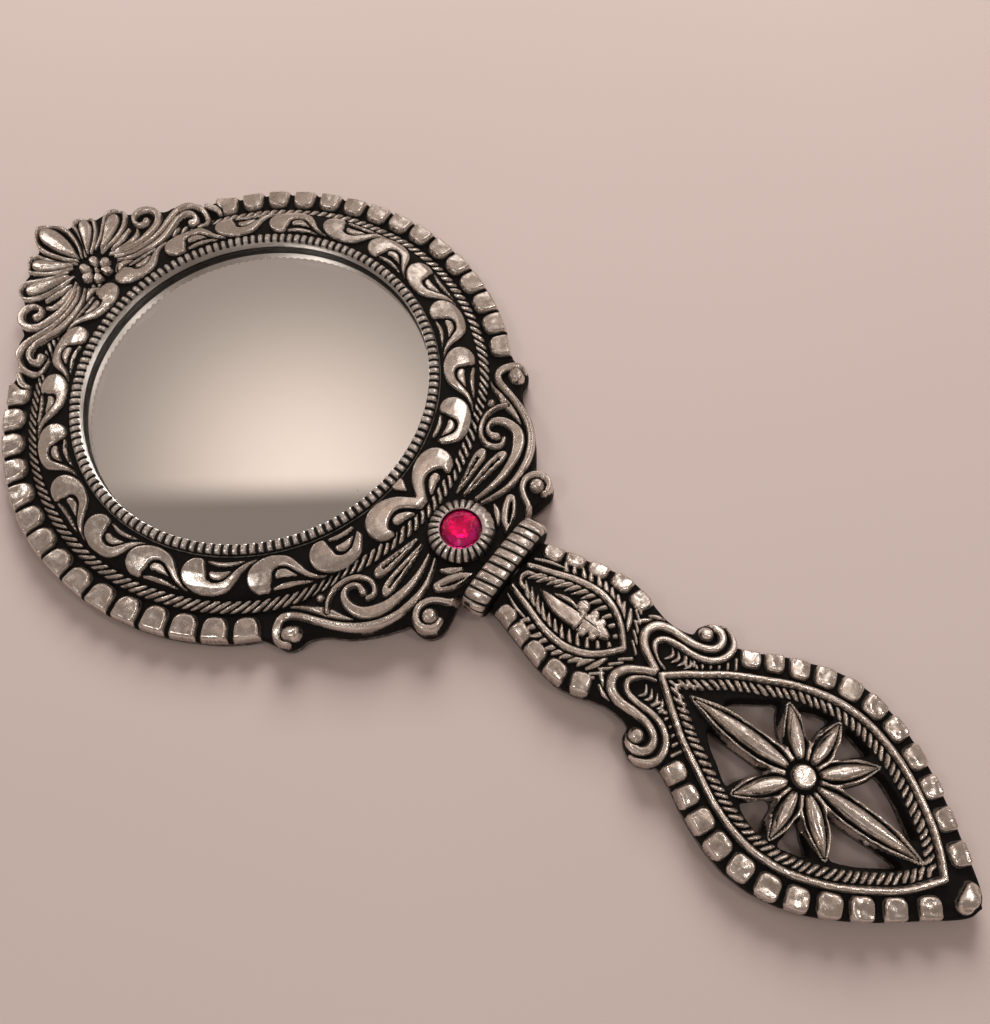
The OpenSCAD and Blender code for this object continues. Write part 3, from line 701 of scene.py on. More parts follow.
def relief_plate(name, loops, surface, ease, step, back_z, lo, hi, blur_n, joint, keep_out=None, tuck=None):
    """A casting in plan: a grid of heights trimmed to its outline, with walls and a back.
    loops[0] is the outline and the rest are openings."""
    xs = np.arange(lo[0], hi[0] + step, step)
    ys = np.arange(lo[1], hi[1] + step, step)
    X, Y = np.meshgrid(xs, ys)
    shape = X.shape
    x, y = X.ravel(), Y.ravel()
    sd = np.full(len(x), -9.0)
    # only points near the part need the exact distance
    outer = loops[0]
    d = signed(x, y, outer)
    sd = d
    for L in loops[1:]:
        near = np.nonzero((x > L[:, 0].min() - 1.5) & (x < L[:, 0].max() + 1.5)
                          & (y > L[:, 1].min() - 1.5) & (y < L[:, 1].max() + 1.5))[0]
        sd[near] = np.minimum(sd[near], -signed(x[near], y[near], L))
    if keep_out is not None:
        sd = np.minimum(sd, np.hypot(x, y) - keep_out)
    G = sd.reshape(shape)
    gy, gx = np.gradient(G, step)
    gl = np.maximum(np.hypot(gx, gy), 1e-6)
    gx, gy = (gx / gl).ravel(), (gy / gl).ravel()

    use = np.nonzero(sd > -2.2)[0]
    Hz, Hh = np.zeros(len(x)), np.zeros(len(x))
    # heights for shading come from the plate as if it had no edge
    z0, h0 = surface(x[use], y[use])
    Hz[use], Hh[use] = z0, h0
    Hz[sd <= -2.2] = back_z + 2.0
    shade = shade_of(Hz.reshape(shape), Hh.reshape(shape), blur_n).ravel()

    snap = np.abs(sd) < 0.62 * step
    px, py = x.copy(), y.copy()
    px[snap] -= sd[snap] * gx[snap]
    py[snap] -= sd[snap] * gy[snap]
    ok = (sd >= 0) | snap
    ok = ok.reshape(shape)
    a, b, c, e = ok[:-1, :-1], ok[:-1, 1:], ok[1:, 1:], ok[1:, :-1]
    quad = a & b & c & e
    ids = np.arange(len(x)).reshape(shape)
    A, B, C, E = ids[:-1, :-1], ids[:-1, 1:], ids[1:, 1:], ids[1:, :-1]
    faces = np.stack([A[quad], B[quad], C[quad], E[quad]], 1)
    # drop cells that only touch the edge with snapped corners on both sides
    allsnap = snap[faces].all(1)
    mid = sd[faces].mean(1)
    faces = faces[~(allsnap & (mid < 0))]
    tris = []
    for miss, t in ((~a & b & c & e, (B, C, E)), (a & ~b & c & e, (A, C, E)),
                    (a & b & ~c & e, (A, B, E)), (a & b & c & ~e, (A, B, C))):
        f = np.stack([t[0][miss], t[1][miss], t[2][miss]], 1)
        f = f[~(snap[f].all(1) & (sd[f].mean(1) < 0))]
        tris.append(f)
    tris = np.vstack(tris)
    used = np.unique(np.r_[faces.ravel(), tris.ravel()])
    remap = np.full(len(x), -1)
    remap[used] = np.arange(len(used))
    vx, vy = px[used], py[used]
    edge = np.maximum(sd[used], 0)
    edge[snap[used]] = 0
    if keep_out is not None:
        # the inner rim is not an outside edge: it tucks under the dome instead
        r = np.hypot(vx, vy)
        edge = np.where(r < keep_out + 1.5, 9.0, edge)
    # the joint with the collar stays square
    edge = np.where((np.abs(vy - joint[1]) < 1.1) & (np.abs(vx) < joint[0]), 9.0, edge)
    z, h = Hz[used].copy(), Hh[used].copy()
    sn = snap[used]
    z[sn], h[sn] = surface(vx[sn], vy[sn])
    z = ease(z, h, edge)
    sh = shade[used]
    # painted shade: the shade value is dimmed by up to a fifth within half a millimetre of the outline and of the
    # openings, where the top rolls over into the walls
    rim = np.clip(edge / 0.5, 0, 1)
    sh = sh * (0.82 + 0.18 * rim)
    if tuck is not None:
        r = np.hypot(vx, vy)
        z = z - tuck * sstep(keep_out + 0.22, keep_out, r)
    V = [np.stack([vx, vy, z], 1)]
    S = [sh]
    F = [list(map(int, f)) for f in remap[faces]] + [list(map(int, f)) for f in remap[tris]]

    # walls: every edge that bounds just one face gets a strip down to the back
    he = []
    for f in (remap[faces], remap[tris]):
        if len(f):
            n = f.shape[1]
            for q in range(n):
                he.append(np.stack([f[:, q], f[:, (q + 1) % n]], 1))
    he = np.vstack(he)
    key = np.sort(he, 1)
    code = key[:, 0].astype(np.int64) * (len(used) + 1) + key[:, 1]
    u, first, cnt = np.unique(code, return_index=True, return_counts=True)
    be = he[first[cnt == 1]]
    bv = np.unique(be.ravel())
    rings = []
    base = len(used)
    zb = z[bv]
    for q, (frac, inset) in enumerate(((0.35, 0.0), (0.8, 0.0), (1.0, 0.22))):
        zz = zb + (back_z - zb) * frac if frac < 1 else np.full(len(bv), back_z)
        if frac == 0.8:
            zz = np.minimum(zz, np.full(len(bv), back_z + 0.35))
            zz = np.maximum(zz, back_z + 0.3)
        cx = vx[bv] + inset * gx[used][bv]
        cy = vy[bv] + inset * gy[used][bv]
        V.append(np.stack([cx, cy, zz], 1))
        # the wall strips get fixed shade values: darkish, and darkest on the strip near the base, which is painted
        # shade
        S.append(np.full(len(bv), (0.36, 0.30, 0.5)[q]))
        m = np.full(len(used), -1)
        m[bv] = base + np.arange(len(bv))
        rings.append(m)
        base += len(bv)
    prev = np.arange(len(used))
    for m in rings:
        F += [[int(m[i]), int(m[j]), int(prev[j]), int(prev[i])] for i, j in be]
        prev = m
    V, S = np.vstack(V), np.concatenate(S)
    # back: fill the last ring's loops
    bm = bmesh.new()
    back_ids = rings[-1][bv]
    bverts = [bm.verts.new(V[i]) for i in back_ids]
    look = {int(i): n for n, i in enumerate(back_ids)}
    medges = []
    for i, j in be:
        pair = (bverts[look[int(rings[-1][i])]], bverts[look[int(rings[-1][j])]])
        if bm.edges.get(pair) is None:
            medges.append(bm.edges.new(pair))
    bm.verts.index_update()
    bmesh.ops.triangle_fill(bm, use_beauty=True, use_dissolve=False, edges=medges,
                            normal=Vector((0, 0, -1)))
    bm.verts.index_update()
    for f in bm.faces:
        ring = [int(back_ids[v.index]) for v in f.verts]
        if f.normal.z > 0:
            ring = ring[::-1]
        F.append(ring)
    nback = len(bm.faces)
    bm.free()
    ob = make_object(name, V, F, S)
    # flat shading on the back, and a crisp corner where it meets the wall
    me = ob.data
    total = len(me.polygons)
    flags = np.ones(total, bool)
    flags[total - nback:] = False
    me.polygons.foreach_set("use_smooth", flags.tolist())
    return ob


def polar_band(name):
    """The head's dome as a ring: ornament on top and the rebates for ring, glass and cover below."""
    nth = int(round(2 * math.pi * 45.5 / BAND_STEP))
    rs = np.arange(R_IN, R_SEAM + 0.001, (R_SEAM - R_IN) / round((R_SEAM - R_IN) / (BAND_STEP * 0.93)))
    th = np.arange(nth) * 2 * math.pi / nth
    T, Rr = np.meshgrid(th, rs, indexing="ij")
    x, y = (Rr * np.cos(T)).ravel(), (Rr * np.sin(T)).ravel()
    z, h = head_surface(x, y)
    Z = z.reshape(T.shape)
    # ease the inner lip down beside the milled ring
    Z -= 0.5 * np.clip(1 - (Rr - R_IN) / 0.45, 0, 1) ** 2
    S = shade_of(Z, h.reshape(T.shape), 4, wrap=True)
    under = [(R_SEAM, None), (R_SEAM, BACK_Z), (45.0, BACK_Z), (44.9, BACK_Z + 0.1),
             (44.9, float(bp_hi[2])), (41.3, float(bp_hi[2])), (41.3, 7.05), (R_IN, 7.05)]
    cols = [np.stack([Rr[:, j] * np.cos(th), Rr[:, j] * np.sin(th), Z[:, j]], 1)
            for j in range(len(rs))]
    sh = [S[:, j] for j in range(len(rs))]
    for r, zz in under[1:]:
        cols.append(np.stack([r * np.cos(th), r * np.sin(th), np.full(nth, zz)], 1))
        sh.append(np.full(nth, 0.35))
    V = np.stack(cols, 1)
    m = V.shape[1]
    i = np.arange(nth)
    F = []
    for j in range(m):
        k = (j + 1) % m
        a, b = i * m + j, i * m + k
        c, d = ((i + 1) % nth) * m + k, ((i + 1) % nth) * m + j
        F += [list(q) for q in zip(a.tolist(), b.tolist(), c.tolist(), d.tolist())]
    return make_object(name, V.reshape(-1, 3), F, np.stack(sh, 1).ravel(), smooth_angle=math.radians(62))


def milled_ring(name):
    """The ring that holds the glass: plain inner wall, radial teeth round the top."""
    teeth, per = 141, 12
    nth = teeth * per
    th = np.arange(nth) * 2 * math.pi / nth
    f = np.abs(((np.arange(nth) / per) % 1.0) - 0.5) * 2
    jit = 1 + 0.10 * np.sin(np.floor(np.arange(nth) / per) * 4.7)
    tooth = np.sin(np.clip((0.66 * jit - f) / 0.34, 0, 1) * math.pi / 2)
    zg = GLASS_TOP + 0.06
    # radius, height, how much of the tooth shows there
    prof = [(37.7, zg, 0), (37.7, zg + 0.9, 0), (37.72, TOP - 0.95, 0), (37.76, TOP - 0.62, 0.25),
            (37.84, TOP - 0.34, 0.7), (37.98, TOP - 0.14, 1), (38.2, TOP - 0.03, 1),
            (38.5, TOP, 1), (38.85, TOP, 1), (39.2, TOP - 0.05, 1), (39.5, TOP - 0.16, 1),
            (39.72, TOP - 0.36, 0.9), (39.84, TOP - 0.66, 0.5), (39.88, TOP - 1.0, 0),
            (39.9, 7.04, 0), (41.15, 7.04, 0), (41.2, 7.0, 0), (41.2, zg + 0.05, 0), (41.15, zg, 0)]
    depth = 0.62
    V, S = [], []
    for r, z, k in prof:
        zz = z - depth * k * (1 - tooth) + 0.02 * np.sin(th * 57) * k
        V.append(np.stack([r * np.cos(th), r * np.sin(th), zz], 1))
        if k > 0:
            S.append(np.clip(0.02 + 1.0 * tooth ** 0.7, 0, 1) * (0.75 + 0.25 * k))
        else:
            S.append(np.full(nth, 0.62 if r < 38.5 else 0.05))
    V, S = np.stack(V, 1), np.stack(S, 1)
    m = V.shape[1]
    i = np.arange(nth)
    F = []
    for j in range(m):
        k = (j + 1) % m
        a, b = i * m + j, i * m + k
        c, d = ((i + 1) % nth) * m + k, ((i + 1) % nth) * m + j
        F += [list(q) for q in zip(a.tolist(), b.tolist(), c.tolist(), d.tolist())]
    return make_object(name, V.reshape(-1, 3), F, S.ravel(), smooth_angle=math.radians(70))


def fluted_cup(name):
    """The fluted cup: its rim leans out and down, with one worn stretch."""
    flutes, per = 26, 14
    nth = flutes * per
    th = np.arange(nth) * 2 * math.pi / nth
    f = np.abs(((np.arange(nth) / per) % 1.0) - 0.5) * 2
    worn = 1 - 0.85 * np.clip(1 - np.abs(((np.degrees(th) + 30 + 180) % 360) - 180) / 42, 0, 1) ** 0.6
    flute = np.sin(np.clip((0.80 - f) / 0.5, 0, 1) * math.pi / 2)
    flute = 1 - (1 - flute) * worn
    z0, z1 = float(cup_lo[2]), float(cup_hi[2])
    prof = [(6.3, z0, 0), (6.66, z0 + 0.15, 0.2), (6.8, z0 + 0.7, 0.75), (6.74, z0 + 1.25, 1),
            (6.4, z1 - 0.72, 1), (5.9, z1 - 0.34, 1), (5.35, z1 - 0.08, 0.9), (4.95, z1, 0.6),
            (4.6, z1 - 0.02, 0.15), (4.3, z1 - 0.16, 0), (4.12, z1 - 0.45, 0), (4.06, z1 - 1.1, 0),
            (4.05, z0 + 0.62, 0), (0.0, z0 + 0.62, 0)]
    V, S = [], []
    for r, z, k in prof:
        zz = z - 0.55 * k * (1 - flute)
        rr = r - 0.18 * k * (1 - flute)
        V.append(np.stack([GEM_X + rr * np.cos(th), GEM_Y + rr * np.sin(th), zz], 1))
        if k > 0:
            S.append(np.clip(flute ** 0.8, 0, 1) * (0.7 + 0.3 * k))
        else:
            S.append(np.full(nth, 0.6 if r > 4.2 else 0.12))
    V, S = np.stack(V, 1), np.stack(S, 1)
    m = V.shape[1]
    i = np.arange(nth)
    F = []
    for j in range(m - 1):
        k = j + 1
        a, b = i * m + j, i * m + k
        c, d = ((i + 1) % nth) * m + k, ((i + 1) % nth) * m + j
        if j == m - 2:
            F += [list(q) for q in zip(a.tolist(), b.tolist(), d.tolist())]
        else:
            F += [list(q) for q in zip(a.tolist(), b.tolist(), c.tolist(), d.tolist())]
    F.append([int(q) for q in (i * m)[::-1]])
    V = V.reshape(-1, 3)
    # one point in the middle of the floor
    centre = m - 1
    fix = {int(q) * m + (m - 1): centre for q in i}
    F = [[fix.get(v, v) for v in f] for f in F]
    ob = make_object(name, V, F, S.ravel(), smooth_angle=math.radians(60))
    bm = bmesh.new()
    bm.from_mesh(ob.data)
    loose = [v for v in bm.verts if not v.link_faces]
    bmesh.ops.delete(bm, geom=loose, context="VERTS")
    bm.to_mesh(ob.data)
    bm.free()
    return ob


def cut_stone(name):
    """A round stone cut with eight-fold crown and pavilion facets."""
    r = 3.92
    z0 = float(cup_lo[2]) + 0.78
    zg = float(cup_hi[2]) - 0.5
    zt = float(gs_hi[2])
    pts = []
    for k in range(16):
        a = math.pi * 2 * (k + 0.5) / 16
        pts.append((r * math.cos(a), r * math.sin(a), zg))
        pts.append((r * math.cos(a), r * math.sin(a), zg - 0.22))
    for k in range(8):
        a = math.pi * 2 * k / 8
        pts.append((3.2 * math.cos(a), 3.2 * math.sin(a), zg + (zt - zg) * 0.52))
        b = math.pi * 2 * (k + 0.5) / 8
        pts.append((2.35 * math.cos(b), 2.35 * math.sin(b), zt))
        pts.append((2.3 * math.cos(a), 2.3 * math.sin(a), z0 + 0.55))
        pts.append((1.2 * math.cos(b), 1.2 * math.sin(b), z0))
    bm = bmesh.new()
    for p in pts:
        bm.verts.new((p[0] + GEM_X, p[1] + GEM_Y, p[2]))
    res = bmesh.ops.convex_hull(bm, input=bm.verts)
    bmesh.ops.dissolve_limit(bm, angle_limit=math.radians(1.5), verts=bm.verts, edges=bm.edges)
    bmesh.ops.bevel(bm, geom=list(bm.edges), offset=0.035, segments=1, affect="EDGES", clamp_overlap=True)
    bmesh.ops.scale(bm, vec=(MM,) * 3, verts=bm.verts)
    me = bpy.data.meshes.new(name)
    bm.to_mesh(me)
    bm.free()
    ob = bpy.data.objects.new(name, me)
    bpy.context.scene.collection.objects.link(ob)
    return ob


def collar_roll(name):
    """The ribbed roll round the neck: strands laid side by side over a fat ring."""
    hw = float(co_hi[0]) - 0.15
    zt, zb = float(co_hi[2]) - 0.1, float(co_lo[2])
    y0, y1 = float(co_hi[1]), float(co_lo[1])
    yc, hy = (y0 + y1) / 2, (y0 - y1) / 2
    # the loop round the neck: flat below, rounded shoulders, slightly crowned on top
    base = [[0, zt - 1.15], [4, zt - 1.2], [8, zt - 1.75], [hw - 1.8, zt - 3.0], [hw - 1.15, zt - 4.6],
            [hw - 1.3, zb + 1.6], [hw - 2.2, zb + 0.45], [hw - 4, zb + 0.1], [5, zb + 0.05], [0, zb + 0.05]]
    half = spline(base, step=0.08)
    left = half[1:-1][::-1].copy()
    left[:, 0] *= -1
    loop = np.vstack([half, left])
    d = np.hypot(*np.diff(np.vstack([loop, loop[:1]]), axis=0).T)
    s = np.cumsum(np.r_[0, d[:-1]])
    total = d.sum()
    n = 900
    q = np.arange(n) * total / n
    lx = np.interp(q, np.r_[s, total], np.r_[loop[:, 0], loop[0, 0]])
    lz = np.interp(q, np.r_[s, total], np.r_[loop[:, 1], loop[0, 1]])
    tx = np.roll(lx, -1) - np.roll(lx, 1)
    tz = np.roll(lz, -1) - np.roll(lz, 1)
    tl = np.hypot(tx, tz)
    nx, nz = -tz / tl, tx / tl
    if nz[0] < 0:
        nx, nz = -nx, -nz
    ribs = int(round(total / 1.95))
    m = 30
    V, S = [], []
    for j in range(m + 1):
        b = -1 + 2 * j / m
        bulge = math.sqrt(max(0.0, 1 - b * b)) ** 0.85
        ph = q / total * ribs + 0.22 * b + 0.05 * np.sin(q * 1.9)
        cell = np.floor(ph)
        f = np.abs((ph % 1.0) - 0.5) * 2
        rib = np.sin(np.clip((0.93 - f) / 0.55, 0, 1) * math.pi / 2)
        wide = 1 + 0.08 * np.sin(cell * 3.3)
        out = 1.15 * bulge * wide - 0.5 * (1 - rib) * (0.25 + 0.75 * bulge)
        out = out + 0.04 * noise(q, np.full(n, b * hy), 1.4, 3.0)
        top = np.clip(nz, 0, 1)
        under = np.clip(-nz, 0, 1)
        out = out * (1 - 0.93 * under)
        V.append(np.stack([lx + nx * out, np.full(n, yc + b * hy * 0.985), lz + nz * out], 1))
        S.append(np.clip(0.05 + 0.95 * rib * (0.35 + 0.65 * bulge), 0, 1))
    V, S = np.stack(V, 1), np.stack(S, 1)
    V[..., 2] = np.clip(V[..., 2], zb, float(co_hi[2]))
    w = m + 1
    i = np.arange(n)
    F = []
    for j in range(m):
        a, b = i * w + j, i * w + j + 1
        c, e = ((i + 1) % n) * w + j + 1, ((i + 1) % n) * w + j
        F += [list(k) for k in zip(a.tolist(), b.tolist(), c.tolist(), e.tolist())]
    F.append([int(k) for k in (i * w)])
    F.append([int(k) for k in (i * w + m)[::-1]])
    ob = make_object(name, V.reshape(-1, 3), F, S.ravel())
    bm = bmesh.new()
    bm.from_mesh(ob.data)
    bmesh.ops.recalc_face_normals(bm, faces=bm.faces)
    big = [f for f in bm.faces if len(f.verts) > 8]
    for f in big:
        f.smooth = False
    bmesh.ops.triangulate(bm, faces=big)
    for e in bm.edges:
        if len(e.link_faces) == 2 and e.calc_face_angle(0) > math.radians(62):
            e.smooth = False
    bm.to_mesh(ob.data)
    bm.free()
    return ob


def glass_disc(name):
    """The round of glass: flat faces, ground bevels and a ground edge, just clear of the silvering."""
    r = float(gl_hi[0]) - 0.02
    z0, z1 = float(gl_lo[2]) + 0.03, GLASS_TOP
    nth = 240
    th = np.arange(nth) * 2 * math.pi / nth
    prof = [(r - 0.45, z1), (r - 0.08, z1 - 0.3), (r, z1 - 0.4), (r, z0 + 0.35), (r - 0.08, z0 + 0.25), (r - 0.4, z0)]
    V = np.vstack([np.stack([q * np.cos(th), q * np.sin(th), np.full(nth, z)], 1) for q, z in prof])
    i = np.arange(nth)
    F = []
    for j in range(len(prof) - 1):
        a, b = j * nth + i, j * nth + (i + 1) % nth
        F += [list(k) for k in zip(a.tolist(), b.tolist(), (b + nth).tolist(), (a + nth).tolist())]
    F.append([int(k) for k in i])
    F.append([int(k) for k in ((len(prof) - 1) * nth + i)[::-1]])
    ob = make_object(name, V, F, smooth_angle=math.radians(20))
    for p in ob.data.polygons:
        if len(p.vertices) > 8:
            p.use_smooth = False
    return ob


def outward(ob):
    bm = bmesh.new()
    bm.from_mesh(ob.data)
    bmesh.ops.recalc_face_normals(bm, faces=bm.faces)
    bm.to_mesh(ob.data)
    bm.free()
    return ob


# ---------------------------------------------------------------------------
# Materials
# ---------------------------------------------------------------------------
class Mat:
    def __init__(self, name):
        self.m = bpy.data.materials.new(name)
        self.m.use_nodes = True
        self.t = self.m.node_tree
        self.t.nodes.clear()
        self.out = self.t.nodes.new("ShaderNodeOutputMaterial")
        self.b = self.t.nodes.new("ShaderNodeBsdfPrincipled")
        self.link(self.b.outputs[0], self.out.inputs["Surface"])
        co = self.t.nodes.new("ShaderNodeTexCoord")
        mp = self.t.nodes.new("ShaderNodeMapping")
        mp.inputs["Scale"].default_value = (1000, 1000, 1000)
        self.link(co.outputs["Object"], mp.inputs["Vector"])
        self.co = mp.outputs["Vector"]

    def link(self, a, b):
        self.t.links.new(a, b)

    def noise(self, scale, detail=3.0, rough=0.55, vec=None, distort=0.0):
        n = self.t.nodes.new("ShaderNodeTexNoise")
        n.inputs["Scale"].default_value = scale
        n.inputs["Detail"].default_value = detail
        n.inputs["Roughness"].default_value = rough
        n.inputs["Distortion"].default_value = distort
        self.link(vec or self.co, n.inputs["Vector"])
        return n.outputs[0]

    def voronoi(self, scale, vec=None):
        n = self.t.nodes.new("ShaderNodeTexVoronoi")
        n.inputs["Scale"].default_value = scale
        self.link(vec or self.co, n.inputs["Vector"])
        return n.outputs["Distance"]

    def stretch(self, sx, sy, sz, rot=(0, 0, 0)):
        mp = self.t.nodes.new("ShaderNodeMapping")
        mp.inputs["Scale"].default_value = (sx, sy, sz)
        mp.inputs["Rotation"].default_value = rot
        self.link(self.co, mp.inputs["Vector"])
        return mp.outputs["Vector"]

    def ramp(self, src, stops, interp="LINEAR"):
        n = self.t.nodes.new("ShaderNodeValToRGB")
        n.color_ramp.interpolation = interp
        el = n.color_ramp.elements
        while len(el) < len(stops):
            el.new(0.5)
        for e, (p, c) in zip(el, stops):
            e.position = p
            e.color = (*c, 1) if len(c) == 3 else c
        self.link(src, n.inputs[0])
        return n.outputs[0]

    def map(self, src, a, b, c, d, clamp=True):
        n = self.t.nodes.new("ShaderNodeMapRange")
        n.clamp = clamp
        for k, v in zip(("From Min", "From Max", "To Min", "To Max"), (a, b, c, d)):
            n.inputs[k].default_value = v
        self.link(src, n.inputs["Value"])
        return n.outputs[0]

    def math(self, op, a, b=None):
        n = self.t.nodes.new("ShaderNodeMath")
        n.operation = op
        for i, v in enumerate((a, b)):
            if v is None:
                continue
            if isinstance(v, (int, float)):
                n.inputs[i].default_value = v
            else:
                self.link(v, n.inputs[i])
        return n.outputs[0]

    def mix(self, f, a, b, mode="MIX"):
        n = self.t.nodes.new("ShaderNodeMix")
        n.data_type = "RGBA"
        n.blend_type = mode
        for k, v in ((0, f), (6, a), (7, b)):
            if isinstance(v, (int, float)):
                n.inputs[k].default_value = v
            elif isinstance(v, tuple):
                n.inputs[k].default_value = (*v, 1)
            else:
                self.link(v, n.inputs[k])
        return n.outputs[2]

    def attr(self, name):
        n = self.t.nodes.new("ShaderNodeAttribute")
        n.attribute_type = "GEOMETRY"
        n.attribute_name = name
        return n.outputs["Fac"]

    def bump(self, *layers):
        normal = None
        for src, strength, dist in layers:
            n = self.t.nodes.new("ShaderNodeBump")
            n.inputs["Strength"].default_value = strength
            n.inputs["Distance"].default_value = dist * MM
            self.link(src, n.inputs["Height"])
            if normal is not None:
                self.link(normal, n.inputs["Normal"])
            normal = n.outputs[0]
        self.link(normal, self.b.inputs["Normal"])

    def set(self, **k):
        for name, v in k.items():
            s = self.b.inputs[name.replace("_", " ")]
            if isinstance(v, (int, float)):
                s.default_value = v
            elif isinstance(v, tuple):
                s.default_value = (*v, 1) if len(v) == 3 else v
            else:
                self.link(v, s)
        return self


def antiqued(name, bright=(0.76, 0.695, 0.645), dark=(0.005, 0.0042, 0.0038), rough=(0.16, 0.32), gain=1.0):
    """Cast white metal: black in the recesses, buffed on the high spots, pits and fine scratches."""
    m = Mat(name)
    s = m.attr("shade")
    breakup = m.noise(0.9, 4, 0.6)
    fine = m.noise(4.5, 3, 0.6)
    s1 = m.math("ADD", s, m.map(breakup, 0.3, 0.7, -0.09 * gain, 0.09 * gain))
    s1 = m.math("ADD", s1, m.map(fine, 0.3, 0.7, -0.05, 0.05))
    pits = m.map(m.voronoi(0.85), 0.05, 0.12, 0.0, 1.0)
    pits = m.math("MAXIMUM", pits, m.map(m.noise(0.35, 2, 0.5), 0.48, 0.54, 1.0, 0.0))
    s1 = m.math("MULTIPLY", s1, m.map(pits, 0, 1, 0.35, 1.0))
    tint = m.ramp(m.noise(0.16, 3, 0.6), [(0.32, (bright[0] * 0.88, bright[1] * 0.86, bright[2] * 0.84)),
                                          (0.55, bright),
                                          (0.75, (bright[0] * 1.04, bright[1] * 1.01, bright[2] * 0.97))])
    stain = m.map(m.noise(0.42, 4, 0.7), 0.55, 0.74, 0.0, 0.5)
    tint = m.mix(stain, tint, (0.36, 0.29, 0.22))
    col = m.ramp(s1, [(0.14, (0, 0, 0)), (0.26, (0.07, 0.07, 0.07)), (0.42, (0.50, 0.50, 0.50)), (0.62, (1, 1, 1))])
    colour = m.mix(col, dark, tint)
    metal = m.map(s1, 0.12, 0.34, 0.0, 1.0)
    scratch = m.noise(1.0, 2, 0.5, m.stretch(9, 0.6, 3, (0, 0, 0.7)))
    r = m.map(s1, 0.22, 0.75, 0.70, rough[0])
    r = m.math("ADD", r, m.map(breakup, 0.3, 0.7, 0.0, rough[1] - rough[0]))
    r = m.math("ADD", r, m.map(scratch, 0.45, 0.7, 0.0, 0.06))
    m.set(Base_Color=colour, Metallic=metal, Roughness=r, Specular_IOR_Level=0.18)
    m.bump((breakup, 0.22, 0.16), (fine, 0.16, 0.05), (scratch, 0.10, 0.04), (pits, 0.30, 0.12))
    return m.m


def bezel_metal(name):
    m = Mat(name)
    s = m.attr("shade")
    fine = m.noise(5.0, 3, 0.6)
    s1 = m.math("ADD", s, m.map(fine, 0.3, 0.7, -0.08, 0.08))
    base = m.ramp(m.noise(0.25, 3, 0.6), [(0.3, (0.66, 0.61, 0.57)), (0.7, (0.80, 0.755, 0.72))])
    col = m.ramp(s1, [(0.14, (0, 0, 0)), (0.34, (0.25, 0.25, 0.25)), (0.55, (1, 1, 1))])
    m.set(Base_Color=m.mix(col, (0.006, 0.005, 0.0045), base), Metallic=m.map(s1, 0.1, 0.35, 0.0, 1.0),
          Specular_IOR_Level=0.18, Roughness=m.math("ADD", m.map(s1, 0.3, 0.8, 0.5, 0.24), m.map(fine, 0.3, 0.7, 0.0, 0.1)))
    m.bump((fine, 0.3, 0.06), (m.noise(1.2, 3, 0.6), 0.25, 0.12))
    return m.m


def glass_mat(name):
    m = Mat(name)
    m.set(Base_Color=(0.985, 0.992, 0.988), Transmission_Weight=1.0, IOR=1.5)
    dust = m.noise(0.06, 3, 0.5)
    m.set(Roughness=m.map(dust, 0.35, 0.75, 0.0, 0.012))
    m.bump((m.noise(0.03, 2, 0.5), 0.02, 0.05))
    return m.m


def silver_mat(name):
    m = Mat(name)
    spots = m.map(m.voronoi(0.12), 0.012, 0.02, 0.0, 1.0)
    col = m.mix(spots, (0.45, 0.42, 0.40), (0.93, 0.925, 0.92))
    m.set(Base_Color=col, Metallic=1.0, Roughness=m.map(m.noise(0.05, 2, 0.5), 0.3, 0.8, 0.0, 0.02))
    m.bump((m.noise(0.025, 2, 0.4), 0.015, 0.05))
    return m.m


def stone_mat(name):
    m = Mat(name)
    inc = m.noise(0.9, 3, 0.6)
    col = m.ramp(inc, [(0.35, (0.92, 0.003, 0.23)), (0.65, (1.0, 0.015, 0.41))])
    m.set(Base_Color=col, Transmission_Weight=0.9, IOR=1.5)
    m.set(Roughness=m.map(m.noise(2.0, 2, 0.5), 0.4, 0.75, 0.015, 0.05))
    m.bump((m.noise(1.1, 2, 0.5), 0.05, 0.05))
    return m.m


def foil_mat(name):
    m = Mat(name)
    crinkle = m.noise(1.6, 3, 0.6)
    m.set(Base_Color=m.ramp(crinkle, [(0.3, (0.95, 0.50, 0.62)), (0.7, (1.0, 0.78, 0.84))]), Metallic=1.0,
          Roughness=m.map(crinkle, 0.3, 0.7, 0.12, 0.3))
    m.bump((crinkle, 0.8, 0.25))
    return m.m


def felt_mat(name):
    m = Mat(name)
    fib = m.noise(3.0, 6, 0.75, m.stretch(1, 3, 1, (0, 0, 0.4)))
    m.set(Base_Color=m.ramp(fib, [(0.3, (0.012, 0.011, 0.011)), (0.7, (0.045, 0.042, 0.04))]),
          Roughness=m.map(fib, 0.2, 0.8, 0.85, 1.0), Sheen_Weight=0.3)
    m.bump((fib, 0.8, 0.25))
    return m.m


def cover_mat(name):
    """Sheet metal, spun: fine rings about the middle, with antique black rubbed into them."""
    m = Mat(name)
    n = m.t.nodes.new("ShaderNodeTexGradient")
    n.gradient_type = "SPHERICAL"
    mp = m.t.nodes.new("ShaderNodeMapping")
    mp.inputs["Scale"].default_value = (0.02, 0.02, 0.0)
    m.link(m.co, mp.inputs["Vector"])
    m.link(mp.outputs["Vector"], n.inputs["Vector"])
    rad = m.math("MULTIPLY", n.outputs["Fac"], 50.0)
    rings = m.math("SINE", m.math("MULTIPLY", rad, 9.0))
    soft = m.noise(0.10, 5, 0.65)
    fine = m.noise(1.6, 4, 0.65)
    wear = m.math("ADD", m.map(soft, 0.3, 0.7, 0.0, 0.8), m.map(fine, 0.3, 0.7, -0.15, 0.25))
    col = m.mix(wear, (0.16, 0.145, 0.135), (0.60, 0.56, 0.53))
    grit = m.math("ADD", fine, m.math("MULTIPLY", rings, 0.06))
    m.set(Base_Color=col, Metallic=m.map(wear, -0.1, 0.4, 0.6, 1.0), Roughness=m.map(grit, 0.2, 0.8, 0.28, 0.52))
    m.bump((rings, 0.25, 0.05), (fine, 0.3, 0.06), (soft, 0.3, 0.4))
    return m.m


